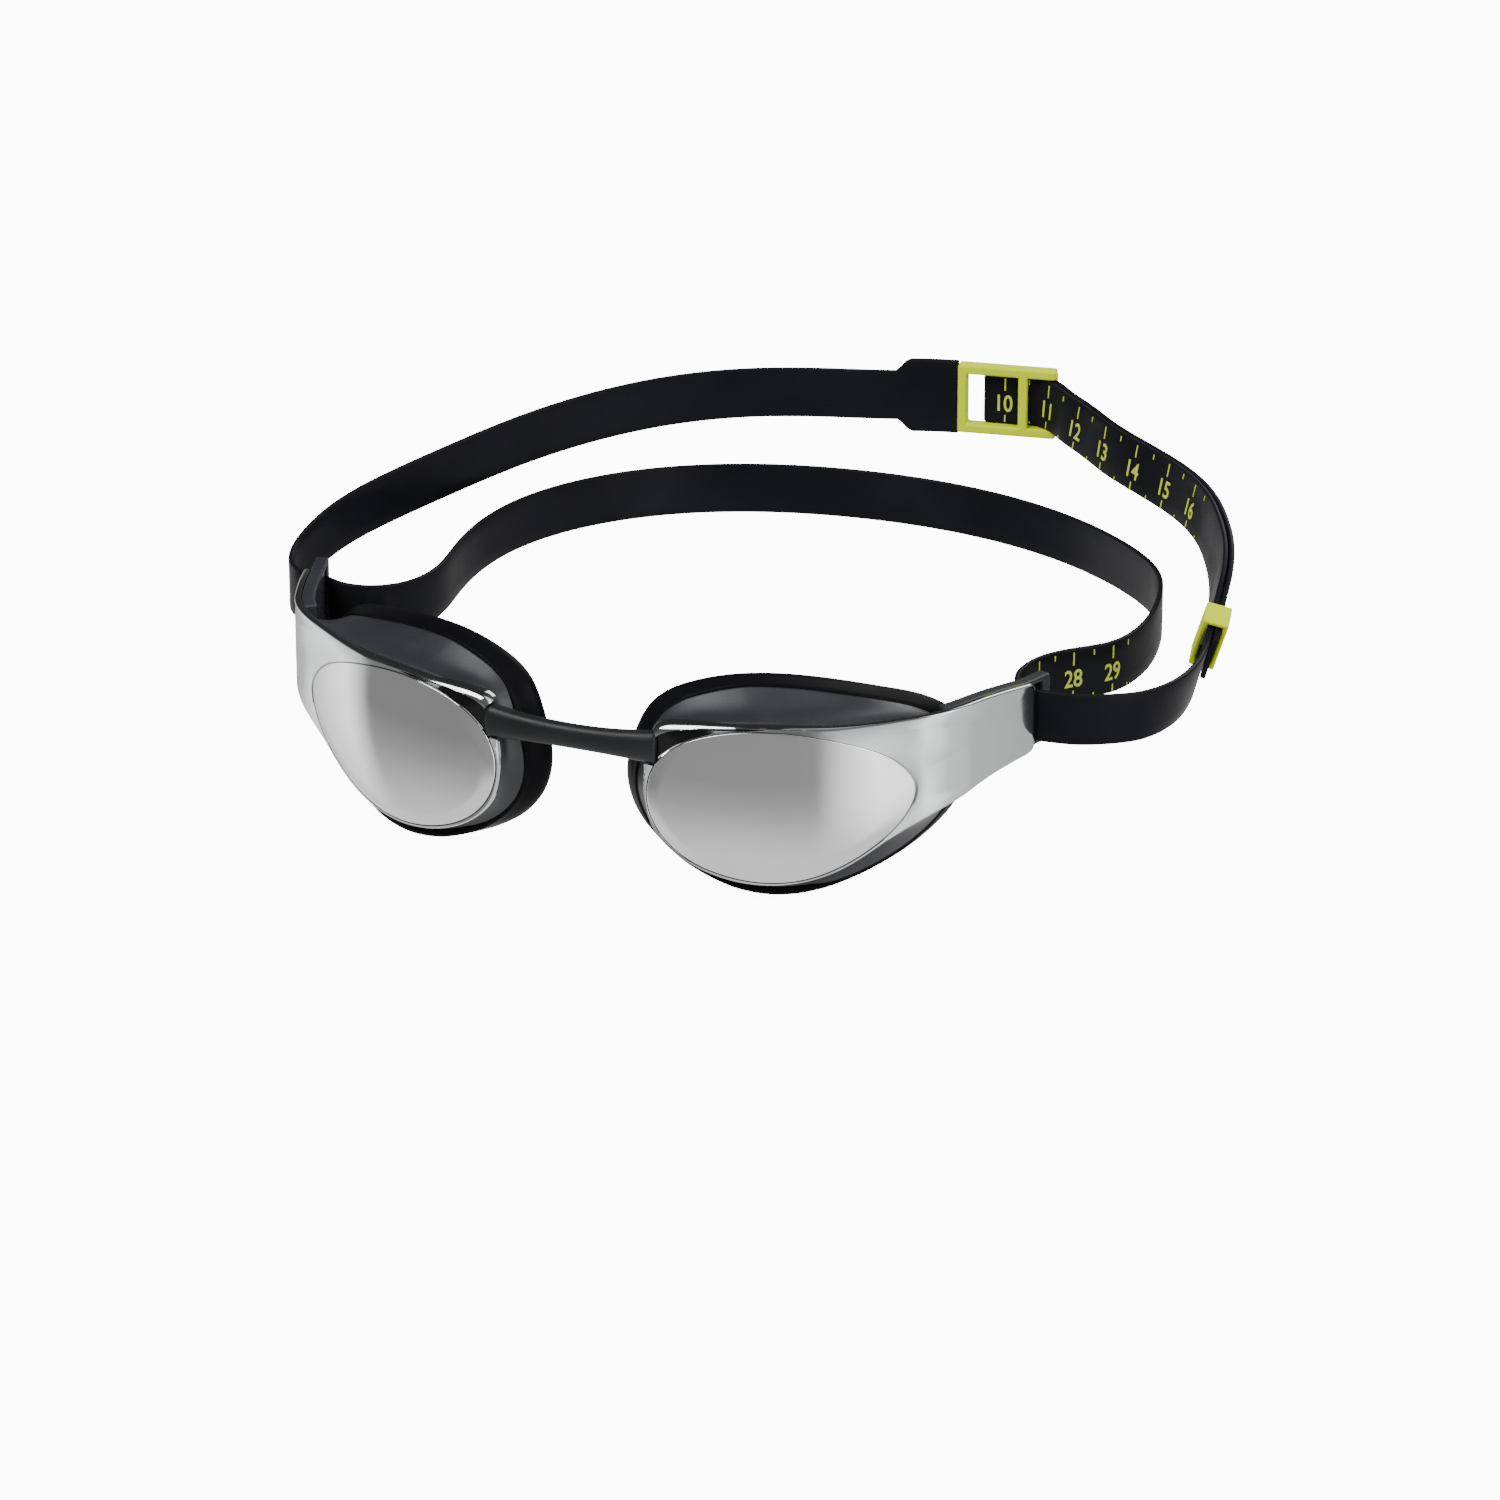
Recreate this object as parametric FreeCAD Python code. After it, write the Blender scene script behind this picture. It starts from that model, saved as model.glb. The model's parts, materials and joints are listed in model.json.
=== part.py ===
import FreeCAD, Part
import math
import os

from FreeCAD import Vector

# Swim goggles. Millimetres, +Z up. The wearer looks along -Y, and the wearer's left is +X.
# The model is drawn with the nose side of the lens rims at Y = 0, the symmetry plane of the
# eyepieces at X = 0 and the floor at Z = 0. At the end everything is moved together, so that the
# origin is the bottom centre of the whole object.

# ---- eyepiece wall: the plan curve that the lens, the side plate and the arm follow
NOSE_GAP_HALF = 16.9
LENS_HEADING = 12.0
LENS_LENGTH = 59.0
LENS_TURN = 18.0
TEMPLE_LENGTH = 14.0
TEMPLE_TURN = 38.0
ARM_LENGTH = 23.0
ARM_TURN = 4.0

# ---- lens, side plate and arm
LENS_MID_Z = 23.0
LENS_CURVE = 80.0
SEAM_TIP = 58.9
LENS_THICKNESS = 2.0
SEAM_GAP = 0.12
PLATE_THICKNESS = 1.5
PLATE_END = 93.4
ARM_CORNER = 1.4
BACKING_START = 70.0
BACKING_END = 92.6
BACKING_DEPTH = 4.6
ARM_TOP_Z = 41.9
ARM_BOTTOM_Z = 26.1

# ---- strap slot and post at the end of each arm
POST_START = 97.1
POST_END = 100.1
POST_FRONT = 1.7
POST_BACK = 4.3
LINK_HEIGHT = 1.4
LINK_ROOT = 1.5
BACKING_GAP = 0.05

# ---- eyecup and seal
CUP_WALL = 1.6
CUP_TUCK = 1.2
CUP_BACK = 1.3
CUP_GAP = 0.08
SEAL_FRONT = 1.2
SEAL_TAPER = 0.6
SEAL_STEP = 0.4
SEAL_DEPTH = 3.6
SEAL_WIDTH = 3.4

# ---- nose bridge
BRIDGE_Z = 34.5
BRIDGE_END_X = 19.6
BRIDGE_END_HEIGHT = 7.8
BRIDGE_MID_HEIGHT = 5.4
BRIDGE_END_DEPTH = 5.0
BRIDGE_MID_DEPTH = 4.0
BRIDGE_END_Y = 2.6
BRIDGE_MID_Y = 1.2
PEG_LENGTH = 2.8
PEG_SMALLER = 3.0
SOCKET_DEPTH = 4.4
SOCKET_WALL = 0.7
SOCKET_SET_BACK = 1.0
SOCKET_TAPER = 0.8
FIT_GAP = 0.05
TRIM_GAP = 0.15

# ---- strap
STRAP_WIDTH = 12.0
STRAP_THICKNESS = 1.2
TAB_WIDTH = 17.5
TAB_THICKNESS = 2.2
SHOULDER_LENGTH = 2.5
TAB_TRIM = 0.2
LAYER_GAP = 0.3
CUT_GAP = 0.3
SLOT_Y = 53.0
SLOT_Z = 33.8
SLOT_CLEAR_RADIUS = 9.0
TURN_CUT_RIGHT_ARM = -92.5
TURN_CUT_LEFT_ARM = 93.0
TURN_CUT_INSIDE = -80.0

# ---- buckle and keeper
BUCKLE_LENGTH = 22.8
BUCKLE_HEIGHT = 16.6
BUCKLE_THICKNESS = 3.4
BUCKLE_RAIL = 1.75
BUCKLE_BAR = 2.2
BUCKLE_EDGE = 0.7
TONGUE_REACH = 3.0
TONGUE_ROOT = 0.5
TONGUE_HALF_THICKNESS = 0.5
TONGUE_HALF_HEIGHT = 4.0
KEEPER_LENGTH = 6.0
KEEPER_WALL = 1.1
KEEPER_CLEARANCE = 0.25
KEEPER_AT = 9.0
KEEPER_EDGE = 0.5

# ---- outlines are cut through everything from front to back over this depth
PRISM_DEPTH = 160.0

# ---- outlines on the unrolled wall: (distance from the nose along the wall, height)
SEAM_OUTLINE = [
    (0.8, 24.5), (2.8, 31.2), (7.8, 36.0), (16.5, 39.3), (27.0, 40.4), (38.0, 39.2),
    (47.5, 36.7), (55.2, 32.5), (58.9, 27.0), (57.6, 21.4), (52.2, 15.0), (43.8, 9.2),
    (35.0, 5.8), (26.0, 5.1), (16.0, 7.1), (8.0, 11.1), (2.6, 17.2),
]
PLATE_TOP = [
    (0.1, 24.5), (0.4, 31.0), (1.0, 36.2), (2.8, 39.6), (7.0, 40.9), (14.0, 41.3), (24.0, 41.4),
    (34.0, 41.3), (44.0, 41.3), (53.0, 42.0), (62.0, 43.0), (74.0, 43.6), (86.0, 42.9), (93.4, 42.1),
]
PLATE_BOTTOM = [
    (93.4, 26.5), (86.0, 26.0), (78.0, 24.9), (70.5, 22.9), (63.0, 20.1), (57.5, 17.2), (51.5, 13.3),
    (43.5, 8.1), (34.5, 5.0), (25.5, 4.3), (15.5, 6.4), (7.2, 10.7), (1.8, 17.0), (0.1, 24.5),
]

# Each station joins a point of the eyecup's front edge, on the wall, to a point of the seal (X, Y, Z).
CUP_STATIONS = [
    ((0.6, 24.5), (9.0, 10.5, 25.0)),
    ((1.2, 32.0), (10.7, 10.7, 33.5)),
    ((3.6, 38.8), (15.0, 12.3, 41.5)),
    ((12.0, 40.8), (22.0, 14.8, 45.3)),
    ((25.0, 41.1), (34.0, 19.0, 47.5)),
    ((40.0, 41.0), (48.0, 24.8, 46.6)),
    ((54.0, 41.5), (60.0, 31.0, 44.0)),
    ((67.0, 40.5), (70.0, 38.0, 39.5)),
    ((75.5, 33.0), (76.0, 42.0, 31.0)),
    ((75.0, 26.5), (75.5, 41.0, 21.0)),
    ((67.0, 21.4), (70.0, 33.0, 11.5)),
    ((58.5, 18.0), (61.0, 24.5, 5.0)),
    ((49.0, 11.8), (51.0, 18.0, 1.2)),
    ((40.0, 6.9), (43.0, 15.0, 0.2)),
    ((31.0, 4.8), (34.0, 13.2, 1.2)),
    ((20.0, 5.6), (24.0, 12.3, 4.6)),
    ((10.0, 9.4), (16.0, 11.6, 9.6)),
    ((3.2, 15.7), (11.0, 11.0, 16.0)),
]

# ---- strap routes: the centre line of the band, chosen where it bends
RISER_START = Vector(111.3, 90.0, 35.6)
RISER_END = Vector(107.4, 111.0, 44.6)
RISER_LEAN = 16.0
OUTER_RUN = [
    (84.2, 52.4, 33.8), (88.7, 52.6, 33.8), (95.4, 53.3, 33.8), (102.0, 56.2, 33.8),
    (107.9, 61.0, 33.8), (111.2, 68.0, 33.8), (112.4, 77.0, 33.9), RISER_START,
]
SCALE_RUN = [
    RISER_END, (104.6, 119.5, 47.6), (100.4, 128.0, 49.3), (94.8, 137.0, 50.5), (88.5, 143.8, 51.6),
    (80.5, 149.6, 52.7), (71.5, 154.6, 53.9), (62.5, 160.0, 55.1), (54.5, 165.8, 56.4),
    (49.0, 169.0, 57.5), (44.9, 171.9, 58.2), (41.0, 173.4, 58.5),
]
UPPER_RUN = [
    (-84.2, 52.6, 33.8), (-89.2, 53.2, 33.8), (-93.6, 56.0, 34.2), (-96.3, 61.5, 35.0),
    (-97.0, 69.0, 36.7), (-94.3, 86.0, 40.0), (-87.3, 99.7, 43.0), (-80.5, 109.8, 45.5),
    (-69.7, 125.2, 49.0), (-55.8, 140.4, 52.3), (-45.3, 148.2, 54.2), (-25.2, 157.8, 56.5),
    (-8.0, 162.6, 57.4), (9.5, 166.3, 58.1), (16.0, 167.9, 58.4), (22.8, 169.5, 58.5),
]
UPPER_SPLIT = 9
TAB_SPLIT = 13
LOWER_RUN = [
    (-84.2, 52.6, 33.8), (-80.0, 50.9, 33.8), (-72.0, 51.0, 33.8), (-65.5, 57.5, 33.6),
    (-63.5, 68.0, 33.4), (-65.5, 82.0, 33.0), (-67.5, 98.0, 32.5), (-66.5, 115.0, 32.0),
    (-60.0, 133.0, 31.6), (-47.0, 149.0, 31.4), (-27.0, 161.0, 31.4), (-1.0, 167.5, 31.4),
    (25.0, 167.5, 31.4), (50.0, 160.5, 31.6), (72.0, 147.0, 32.0), (86.5, 131.0, 32.4),
    (91.5, 118.0, 32.8), (94.0, 106.0, 33.1), (94.4, 94.0, 33.4), (92.0, 84.8, 33.6),
    (86.0, 77.8, 33.7), (81.6, 71.5, 33.8), (79.8, 65.0, 33.8), (80.3, 58.5, 33.8),
    (82.4, 54.2, 33.8), (84.2, 52.4, 33.8),
]
LOWER_RIGHT_SPLIT = 8
LOWER_LEFT_SPLIT = 14

# ---- buckle place: its middle and the heading of its long side
BUCKLE_CENTRE = Vector(34.3, 171.6, 58.5)
BUCKLE_HEADING = 10.0
WINDOW_LEFT = -9.5
MIDDLE_BAR_LEFT = 2.6
WINDOW_RIGHT = 10.0
END_BAR_INNER = 1.45
END_BAR_OUTER = 2.6
FOLD_X = -4.6
LAYER_INNER = 0.85


# ------------------------------------------------------------------ plan curve
def wall_segments():
    """The plan curve as arcs: (start distance, start point, start heading, length, turn)."""
    segments = []
    start = Vector(NOSE_GAP_HALF, 0, 0)
    heading = math.radians(LENS_HEADING)
    distance = 0.0
    for length, turn_degrees in (
        (LENS_LENGTH, LENS_TURN),
        (TEMPLE_LENGTH, TEMPLE_TURN),
        (ARM_LENGTH, ARM_TURN),
    ):
        turn = math.radians(turn_degrees)
        segments.append((distance, start, heading, length, turn))
        radius = length / turn
        start = start + Vector(
            radius * (math.sin(heading + turn) - math.sin(heading)),
            radius * (math.cos(heading) - math.cos(heading + turn)),
            0,
        )
        heading += turn
        distance += length
    return segments


WALL = wall_segments()


def wall_point(distance, depth=0.0, height=0.0):
    """A point of the wall; depth is measured behind its outer face."""
    segment = WALL[0]
    for candidate in WALL:
        if distance >= candidate[0]:
            segment = candidate
    begin, start, heading, length, turn = segment
    radius = length / turn
    angle = heading + (distance - begin) / radius
    x = start.x + radius * (math.sin(angle) - math.sin(heading)) - depth * math.sin(angle)
    y = start.y + radius * (math.cos(heading) - math.cos(angle)) + depth * math.cos(angle)
    return Vector(x, y, height)


def wall_edges(first, last, depth):
    """Arcs along the wall from one distance to another."""
    breaks = [first] + [s[0] for s in WALL if first < s[0] < last] + [last]
    edges = []
    for a, b in zip(breaks, breaks[1:]):
        ends = [wall_point(a, depth), wall_point((a + b) / 2, depth), wall_point(b - 1e-9, depth)]
        edges.append(Part.Arc(*ends).toShape())
    return edges


def wall_slab(first, last, front, back, low, high):
    """A curved plate that follows the wall between two depths."""
    front_edges = wall_edges(first, last, front)
    back_edges = wall_edges(first, last, back)
    start_cap = Part.makeLine(wall_point(first, front), wall_point(first, back))
    end_cap = Part.makeLine(wall_point(last - 1e-9, front), wall_point(last - 1e-9, back))
    wire = Part.Wire(Part.__sortEdges__(front_edges + [end_cap] + back_edges + [start_cap]))
    slab = Part.Face(wire).extrude(Vector(0, 0, high - low))
    slab.translate(Vector(0, 0, low))
    return slab


# ------------------------------------------------------------------ general helpers
def spline_edge(points, closed=False):
    curve = Part.BSplineCurve()
    curve.interpolate(Points=[Vector(*p) for p in points], PeriodicFlag=closed)
    return curve.toShape()


def prism_along_y(edges):
    """Everything inside an outline that is drawn in the X-Z plane."""
    face = Part.Face(Part.Wire(Part.__sortEdges__(edges)))
    face.translate(Vector(0, -PRISM_DEPTH / 2, 0))
    return face.extrude(Vector(0, PRISM_DEPTH, 0))


def on_plan(outline):
    """Unrolled (distance, height) points as X-Z points."""
    return [(wall_point(s).x, 0, z) for s, z in outline]


def inset(points, distance):
    """Moves the points of a closed outline towards its inside, seen from the front."""
    moved = []
    count = len(points)
    for i, p in enumerate(points):
        before = points[i - 1]
        after = points[(i + 1) % count]
        along = Vector(after.x - before.x, 0, after.z - before.z)
        along.normalize()
        moved.append(p + Vector(along.z, 0, -along.x) * distance)
    return moved


def shifted(points, dy):
    return [p + Vector(0, dy, 0) for p in points]


def ring_solid(outer_front, outer_back, inner_back, inner_front):
    """A closed ring between four closed outlines."""
    edges = [spline_edge(o, True) for o in (outer_front, outer_back, inner_back, inner_front)]
    faces = [Part.makeRuledSurface(edges[i], edges[(i + 1) % 4]) for i in range(4)]
    return as_solid(faces)


def as_solid(faces):
    solid = Part.Solid(Part.Shell([f for face in faces for f in face.Faces]))
    if solid.Volume < 0:
        solid.reverse()
    return solid


def mirrored(shape):
    return shape.mirror(Vector(0, 0, 0), Vector(1, 0, 0))


def oval(centre_x, centre_y, height, depth):
    """An upright oval wire across the X axis."""
    ellipse = Part.Ellipse(Vector(0, 0, 0), height / 2, depth / 2)
    wire = Part.Wire([ellipse.toShape()])
    wire.rotate(Vector(0, 0, 0), Vector(0, 1, 0), -90)
    wire.translate(Vector(centre_x, centre_y, BRIDGE_Z))
    return wire


# ------------------------------------------------------------------ eyepiece
def bridge_section(x, extra=0.0):
    """The oval section of the nose bridge at a distance from the middle."""
    flare = abs(x / BRIDGE_END_X) ** 2
    height = BRIDGE_MID_HEIGHT + (BRIDGE_END_HEIGHT - BRIDGE_MID_HEIGHT) * flare
    depth = BRIDGE_MID_DEPTH + (BRIDGE_END_DEPTH - BRIDGE_MID_DEPTH) * flare
    y = BRIDGE_MID_Y + (BRIDGE_END_Y - BRIDGE_MID_Y) * flare
    return oval(x, y, height + 2 * extra, depth + 2 * extra)


def bridge_notch(extra):
    """The room that the bridge's end and its socket take in the rim."""
    height = BRIDGE_END_HEIGHT + 2 * (SOCKET_WALL + extra)
    depth = BRIDGE_END_DEPTH + 2 * (SOCKET_WALL + extra)
    end = BRIDGE_END_X + SOCKET_DEPTH + extra
    wires = [
        oval(NOSE_GAP_HALF - 4, BRIDGE_END_Y, height, depth),
        oval(BRIDGE_END_X, BRIDGE_END_Y + SOCKET_SET_BACK / 2, height, depth + SOCKET_SET_BACK),
        oval(end, BRIDGE_END_Y + 2 * SOCKET_SET_BACK, height * SOCKET_TAPER, depth * SOCKET_TAPER),
    ]
    return Part.makeLoft(wires, True, True)


def socket_blank():
    height = BRIDGE_END_HEIGHT + 2 * SOCKET_WALL
    depth = BRIDGE_END_DEPTH + 2 * SOCKET_WALL
    end = BRIDGE_END_X + SOCKET_DEPTH
    wires = [
        oval(BRIDGE_END_X, BRIDGE_END_Y + SOCKET_SET_BACK, height, depth),
        oval(end, BRIDGE_END_Y + 2 * SOCKET_SET_BACK, height * SOCKET_TAPER, depth * SOCKET_TAPER),
    ]
    return Part.makeLoft(wires, True, True)


def bridge_peg(extra):
    height = BRIDGE_END_HEIGHT - PEG_SMALLER + 2 * extra
    depth = BRIDGE_END_DEPTH - PEG_SMALLER + 2 * extra
    peg = Part.Face(Part.Wire(oval(BRIDGE_END_X - 1, BRIDGE_END_Y, height, depth)))
    return peg.extrude(Vector(1 + PEG_LENGTH + extra, 0, 0))


def bridge_socket():
    return socket_blank().cut(bridge_peg(FIT_GAP))


def nose_bridge():
    steps = 12
    end = BRIDGE_END_X - FIT_GAP
    shaft = Part.makeLoft([bridge_section(end * (2 * i / steps - 1)) for i in range(steps + 1)], True, False)
    peg = bridge_peg(0)
    return shaft.fuse([peg, mirrored(peg)]).removeSplitter()


def lens_blank():
    """A dome shell whose face passes through the nose end and the temple end of the seam."""
    nose_side = wall_point(SEAM_OUTLINE[0][0])
    temple_side = wall_point(SEAM_TIP)
    chord = temple_side - nose_side
    middle = (nose_side + temple_side) * 0.5
    back = Vector(-chord.y, chord.x, 0)
    back.normalize()
    centre = middle + back * math.sqrt(LENS_CURVE**2 - (chord.Length / 2) ** 2)
    centre.z = LENS_MID_Z
    return Part.makeSphere(LENS_CURVE, centre).cut(Part.makeSphere(LENS_CURVE - LENS_THICKNESS, centre))


def seam_prism(extra):
    points = [Vector(*p) for p in on_plan(SEAM_OUTLINE)]
    return prism_along_y([spline_edge(inset(points, -extra), True)])


def lens():
    return front_half(lens_blank().common(seam_prism(-SEAM_GAP)).cut(bridge_notch(TRIM_GAP)))


def front_half(shape):
    """The prism cuts the dome twice; the front piece is the lens."""
    return min(shape.Solids, key=lambda solid: solid.BoundBox.YMin)


def side_plate():
    top = spline_edge(on_plan(PLATE_TOP))
    bottom = spline_edge(on_plan(PLATE_BOTTOM))
    end = Part.makeLine(top.Vertexes[-1].Point, bottom.Vertexes[0].Point)
    outline = prism_along_y([top, end, bottom])
    slab = wall_slab(0.0, PLATE_END, 0, PLATE_THICKNESS, 0, 50)
    plate = slab.common(outline).cut(seam_prism(0)).cut(bridge_notch(TRIM_GAP))
    plate = biggest(plate)
    return plate.makeFillet(ARM_CORNER, arm_corner_edges(plate))


def arm_corner_edges(plate):
    """The two short edges through the plate's thickness at the end of the arm."""
    corners = []
    for s, z in (PLATE_TOP[-1], PLATE_BOTTOM[0]):
        middle = wall_point(s, PLATE_THICKNESS / 2, z)
        corners.append(min(plate.Edges, key=lambda e: (e.CenterOfMass - middle).Length))
    return corners


def arm_backing():
    """The black inner half of the arm, with the strap slot and its post."""
    top = spline_edge(on_plan(PLATE_TOP))
    bottom = spline_edge(on_plan(PLATE_BOTTOM))
    end = Part.makeLine(top.Vertexes[-1].Point, bottom.Vertexes[0].Point)
    outline = prism_along_y([top, end, bottom])
    front = PLATE_THICKNESS + BACKING_GAP
    slab = wall_slab(BACKING_START, BACKING_END, front, BACKING_DEPTH, 0, 50).common(outline)
    post = wall_slab(POST_START, POST_END, POST_FRONT, POST_BACK, ARM_BOTTOM_Z, ARM_TOP_Z)
    links = []
    for low in (ARM_BOTTOM_Z, ARM_TOP_Z - LINK_HEIGHT):
        start = BACKING_END - LINK_ROOT
        links.append(wall_slab(start, POST_END, front, BACKING_DEPTH, low, low + LINK_HEIGHT))
    return slab.fuse([post] + links).removeSplitter()


def cup_outlines():
    front = [wall_point(s, PLATE_THICKNESS + CUP_GAP, z) for (s, z), _ in CUP_STATIONS]
    seal = [Vector(*p) for _, p in CUP_STATIONS]
    return front, seal


def eyecup():
    front, seal = cup_outlines()
    back = shifted(seal, -CUP_BACK)
    outer_back = inset(back, CUP_TUCK)
    inner_back = inset(back, CUP_TUCK + CUP_WALL)
    inner_front = inset(front, CUP_WALL)
    cup = ring_solid(front, outer_back, inner_back, inner_front)
    cup = cup.cut(bridge_notch(TRIM_GAP))
    return biggest(cup.cut(lens()).cut(side_plate()).cut(arm_backing()))


def face_seal():
    _, seal = cup_outlines()
    outer_front = shifted(seal, -SEAL_FRONT)
    outer_back = shifted(inset(seal, SEAL_TAPER), SEAL_DEPTH - SEAL_FRONT)
    inner_back = shifted(inset(seal, SEAL_WIDTH), SEAL_DEPTH - SEAL_FRONT - SEAL_STEP)
    inner_front = shifted(inset(seal, SEAL_WIDTH), -SEAL_FRONT)
    return ring_solid(outer_front, outer_back, inner_back, inner_front)


# ------------------------------------------------------------------ strap
class Route:
    """A smooth centre line through points, measured by the distance between them."""

    def __init__(self, points, start_tangent=None, end_tangent=None, leans=(0.0, 0.0)):
        self.points = [Vector(*p) for p in points]
        self.at = [0.0]
        for a, b in zip(self.points, self.points[1:]):
            self.at.append(self.at[-1] + (b - a).Length)
        self.length = self.at[-1]
        self.leans = leans
        self.curve = Part.BSplineCurve()
        options = {"Points": self.points, "Parameters": self.at}
        if start_tangent is not None and end_tangent is not None:
            options["InitialTangent"] = start_tangent
            options["FinalTangent"] = end_tangent
        self.curve.interpolate(**options)

    def frame(self, u):
        """Point, direction along the strap, direction across its width, outward direction."""
        p = self.curve.value(u)
        along = Vector(self.curve.tangent(u)[0])
        along.normalize()
        up = Vector(0, 0, 1) - along * along.z
        up.normalize()
        out = along.cross(up)
        lean = math.radians(self.leans[0] + (self.leans[1] - self.leans[0]) * u / self.length)
        across = up * math.cos(lean) + out * math.sin(lean)
        return p, along, across, along.cross(across)


def end_direction(route_points, last=True):
    """The direction of a route at one end, taken from its last two points."""
    a, b = (route_points[-2], route_points[-1]) if last else (route_points[0], route_points[1])
    d = Vector(*b) - Vector(*a)
    return d.normalize()


def band_section(route, u, width, thickness, offset):
    p, _, across, out = route.frame(u)
    centre = p + out * offset
    corners = []
    for a, b in ((-1, -1), (-1, 1), (1, 1), (1, -1)):
        corners.append(centre + across * (a * width / 2) + out * (b * thickness / 2))
    return Part.makePolygon(corners + corners[:1])


def band(route, first=0.0, last=None, width=STRAP_WIDTH, thickness=STRAP_THICKNESS, offset=0.0):
    """A flat band along a route, through sections about 4 mm apart."""
    last = route.length if last is None else last
    count = max(3, int(abs(last - first) / 4) + 2)
    sections = []
    for i in range(count):
        u = first + (last - first) * i / (count - 1)
        sections.append(band_section(route, u, width, thickness, offset))
    return Part.makeLoft(sections, True, True)


def box(low, high):
    size = Vector(*high) - Vector(*low)
    return Part.makeBox(size.x, size.y, size.z, Vector(*low))


def axis_cylinder(radius, low_x, high_x):
    """A cylinder round the axis that the strap loops swing about."""
    return Part.makeCylinder(radius, high_x - low_x, Vector(low_x, SLOT_Y, SLOT_Z), Vector(1, 0, 0))


def biggest(shape):
    return max(shape.Solids, key=lambda s: s.Volume)


def riser_direction():
    return (RISER_END - RISER_START).normalize()


def riser_route():
    middle = (RISER_START + RISER_END) * 0.5
    return Route([RISER_START, middle, RISER_END], leans=(RISER_LEAN, RISER_LEAN))


def strap_pieces():
    """Every stretch of the strap, by node name."""
    rise = riser_direction()
    outer = Route(OUTER_RUN, end_direction(OUTER_RUN, False), rise, (0.0, RISER_LEAN))
    riser = riser_route()
    scale = Route(SCALE_RUN, rise, end_direction(SCALE_RUN), (RISER_LEAN, 0.0))
    upper = Route(UPPER_RUN)
    lower = Route(LOWER_RUN)
    upper_split = upper.at[UPPER_SPLIT]
    tab_start = upper.at[TAB_SPLIT]
    lower_right_end = lower.at[LOWER_RIGHT_SPLIT]
    lower_left_start = lower.at[LOWER_LEFT_SPLIT]
    lower_left_whole = band(lower, lower_left_start)
    upper_right_whole = band(upper, 0, upper_split)
    lower_right_whole = band(lower, 0, lower_right_end)
    inner_layer = band(scale)
    outer_layer = band(scale, offset=STRAP_THICKNESS + LAYER_GAP)

    turn_zone_left = box((60, 30, 0), (TURN_CUT_LEFT_ARM, 200, 80))
    far_zone_left = box((60, 30, 0), (TURN_CUT_LEFT_ARM + CUT_GAP, 200, 80))
    outer_band = band(outer)
    left_turn_inside = lower_left_whole.common(axis_cylinder(SLOT_CLEAR_RADIUS, 60, 120))
    left_turn = outer_band.common(turn_zone_left).fuse(left_turn_inside).removeSplitter()
    outer_run = outer_band.cut(far_zone_left)
    lower_left_band = lower_left_whole.cut(axis_cylinder(SLOT_CLEAR_RADIUS + CUT_GAP, 60, 120))

    outside_cut = TURN_CUT_RIGHT_ARM
    inside_cut = TURN_CUT_INSIDE
    turn_zone_right = box((outside_cut, 30, 0), (0, 200, 80))
    far_zone_right = box((outside_cut - CUT_GAP, 30, 0), (0, 70, 80))
    inner_zone_right = box((-120, 30, 0), (inside_cut, 70, 80))
    inner_far_right = box((-120, 30, 0), (inside_cut + CUT_GAP, 57, 80))
    near = axis_cylinder(SLOT_CLEAR_RADIUS + 4, -120, 0)
    right_turn = upper_right_whole.common(turn_zone_right).common(near)
    right_turn = right_turn.fuse(lower_right_whole.common(inner_zone_right)).removeSplitter()

    return {
        "strap_slot_turn_left": biggest(left_turn),
        "strap_slot_turn_right": biggest(right_turn),
        "strap_outer_run_left": biggest(outer_run),
        "strap_keeper_run": band(riser),
        "strap_scale_run": inner_layer,
        "strap_upper_right": biggest(upper_right_whole.cut(far_zone_right)),
        "strap_upper_rear": band(upper, upper_split, tab_start),
        "strap_end_tab": tab_solid(upper, tab_start),
        "strap_lower_right": biggest(lower_right_whole.cut(inner_far_right)),
        "strap_lower_rear": band(lower, lower_right_end, lower_left_start),
        "strap_lower_left": biggest(lower_left_band),
        "strap_tail_keeper_end": band(riser, 2.0, None, offset=STRAP_THICKNESS + LAYER_GAP),
        "strap_tail": outer_layer,
        "strap_buckle_fold": buckle_fold().cut(inner_layer).cut(outer_layer),
    }


def tab_solid(route, start):
    """The widened end of the strap, with shoulders, closed round the buckle's tongue."""
    shoulder_end = start + SHOULDER_LENGTH
    shoulder = band(route, start, shoulder_end, (STRAP_WIDTH + TAB_WIDTH) / 2, TAB_THICKNESS)
    wide = band(route, shoulder_end, route.length - TAB_TRIM, TAB_WIDTH, TAB_THICKNESS)
    return shoulder.fuse(wide).removeSplitter().cut(buckle_tongue(FIT_GAP))


# ------------------------------------------------------------------ buckle and keeper
def place_at_buckle(shape):
    placed = shape.copy()
    placed.rotate(Vector(0, 0, 0), Vector(0, 0, 1), BUCKLE_HEADING)
    placed.translate(BUCKLE_CENTRE)
    return placed


def buckle_tongue(extra):
    """The flat tongue that the end of the strap is moulded round."""
    left = -BUCKLE_LENGTH / 2 - TONGUE_REACH - extra
    right = -BUCKLE_LENGTH / 2 + TONGUE_ROOT
    half_thickness = TONGUE_HALF_THICKNESS + extra
    half_height = TONGUE_HALF_HEIGHT + extra
    return place_at_buckle(box((left, -half_thickness, -half_height), (right, half_thickness, half_height)))


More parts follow.
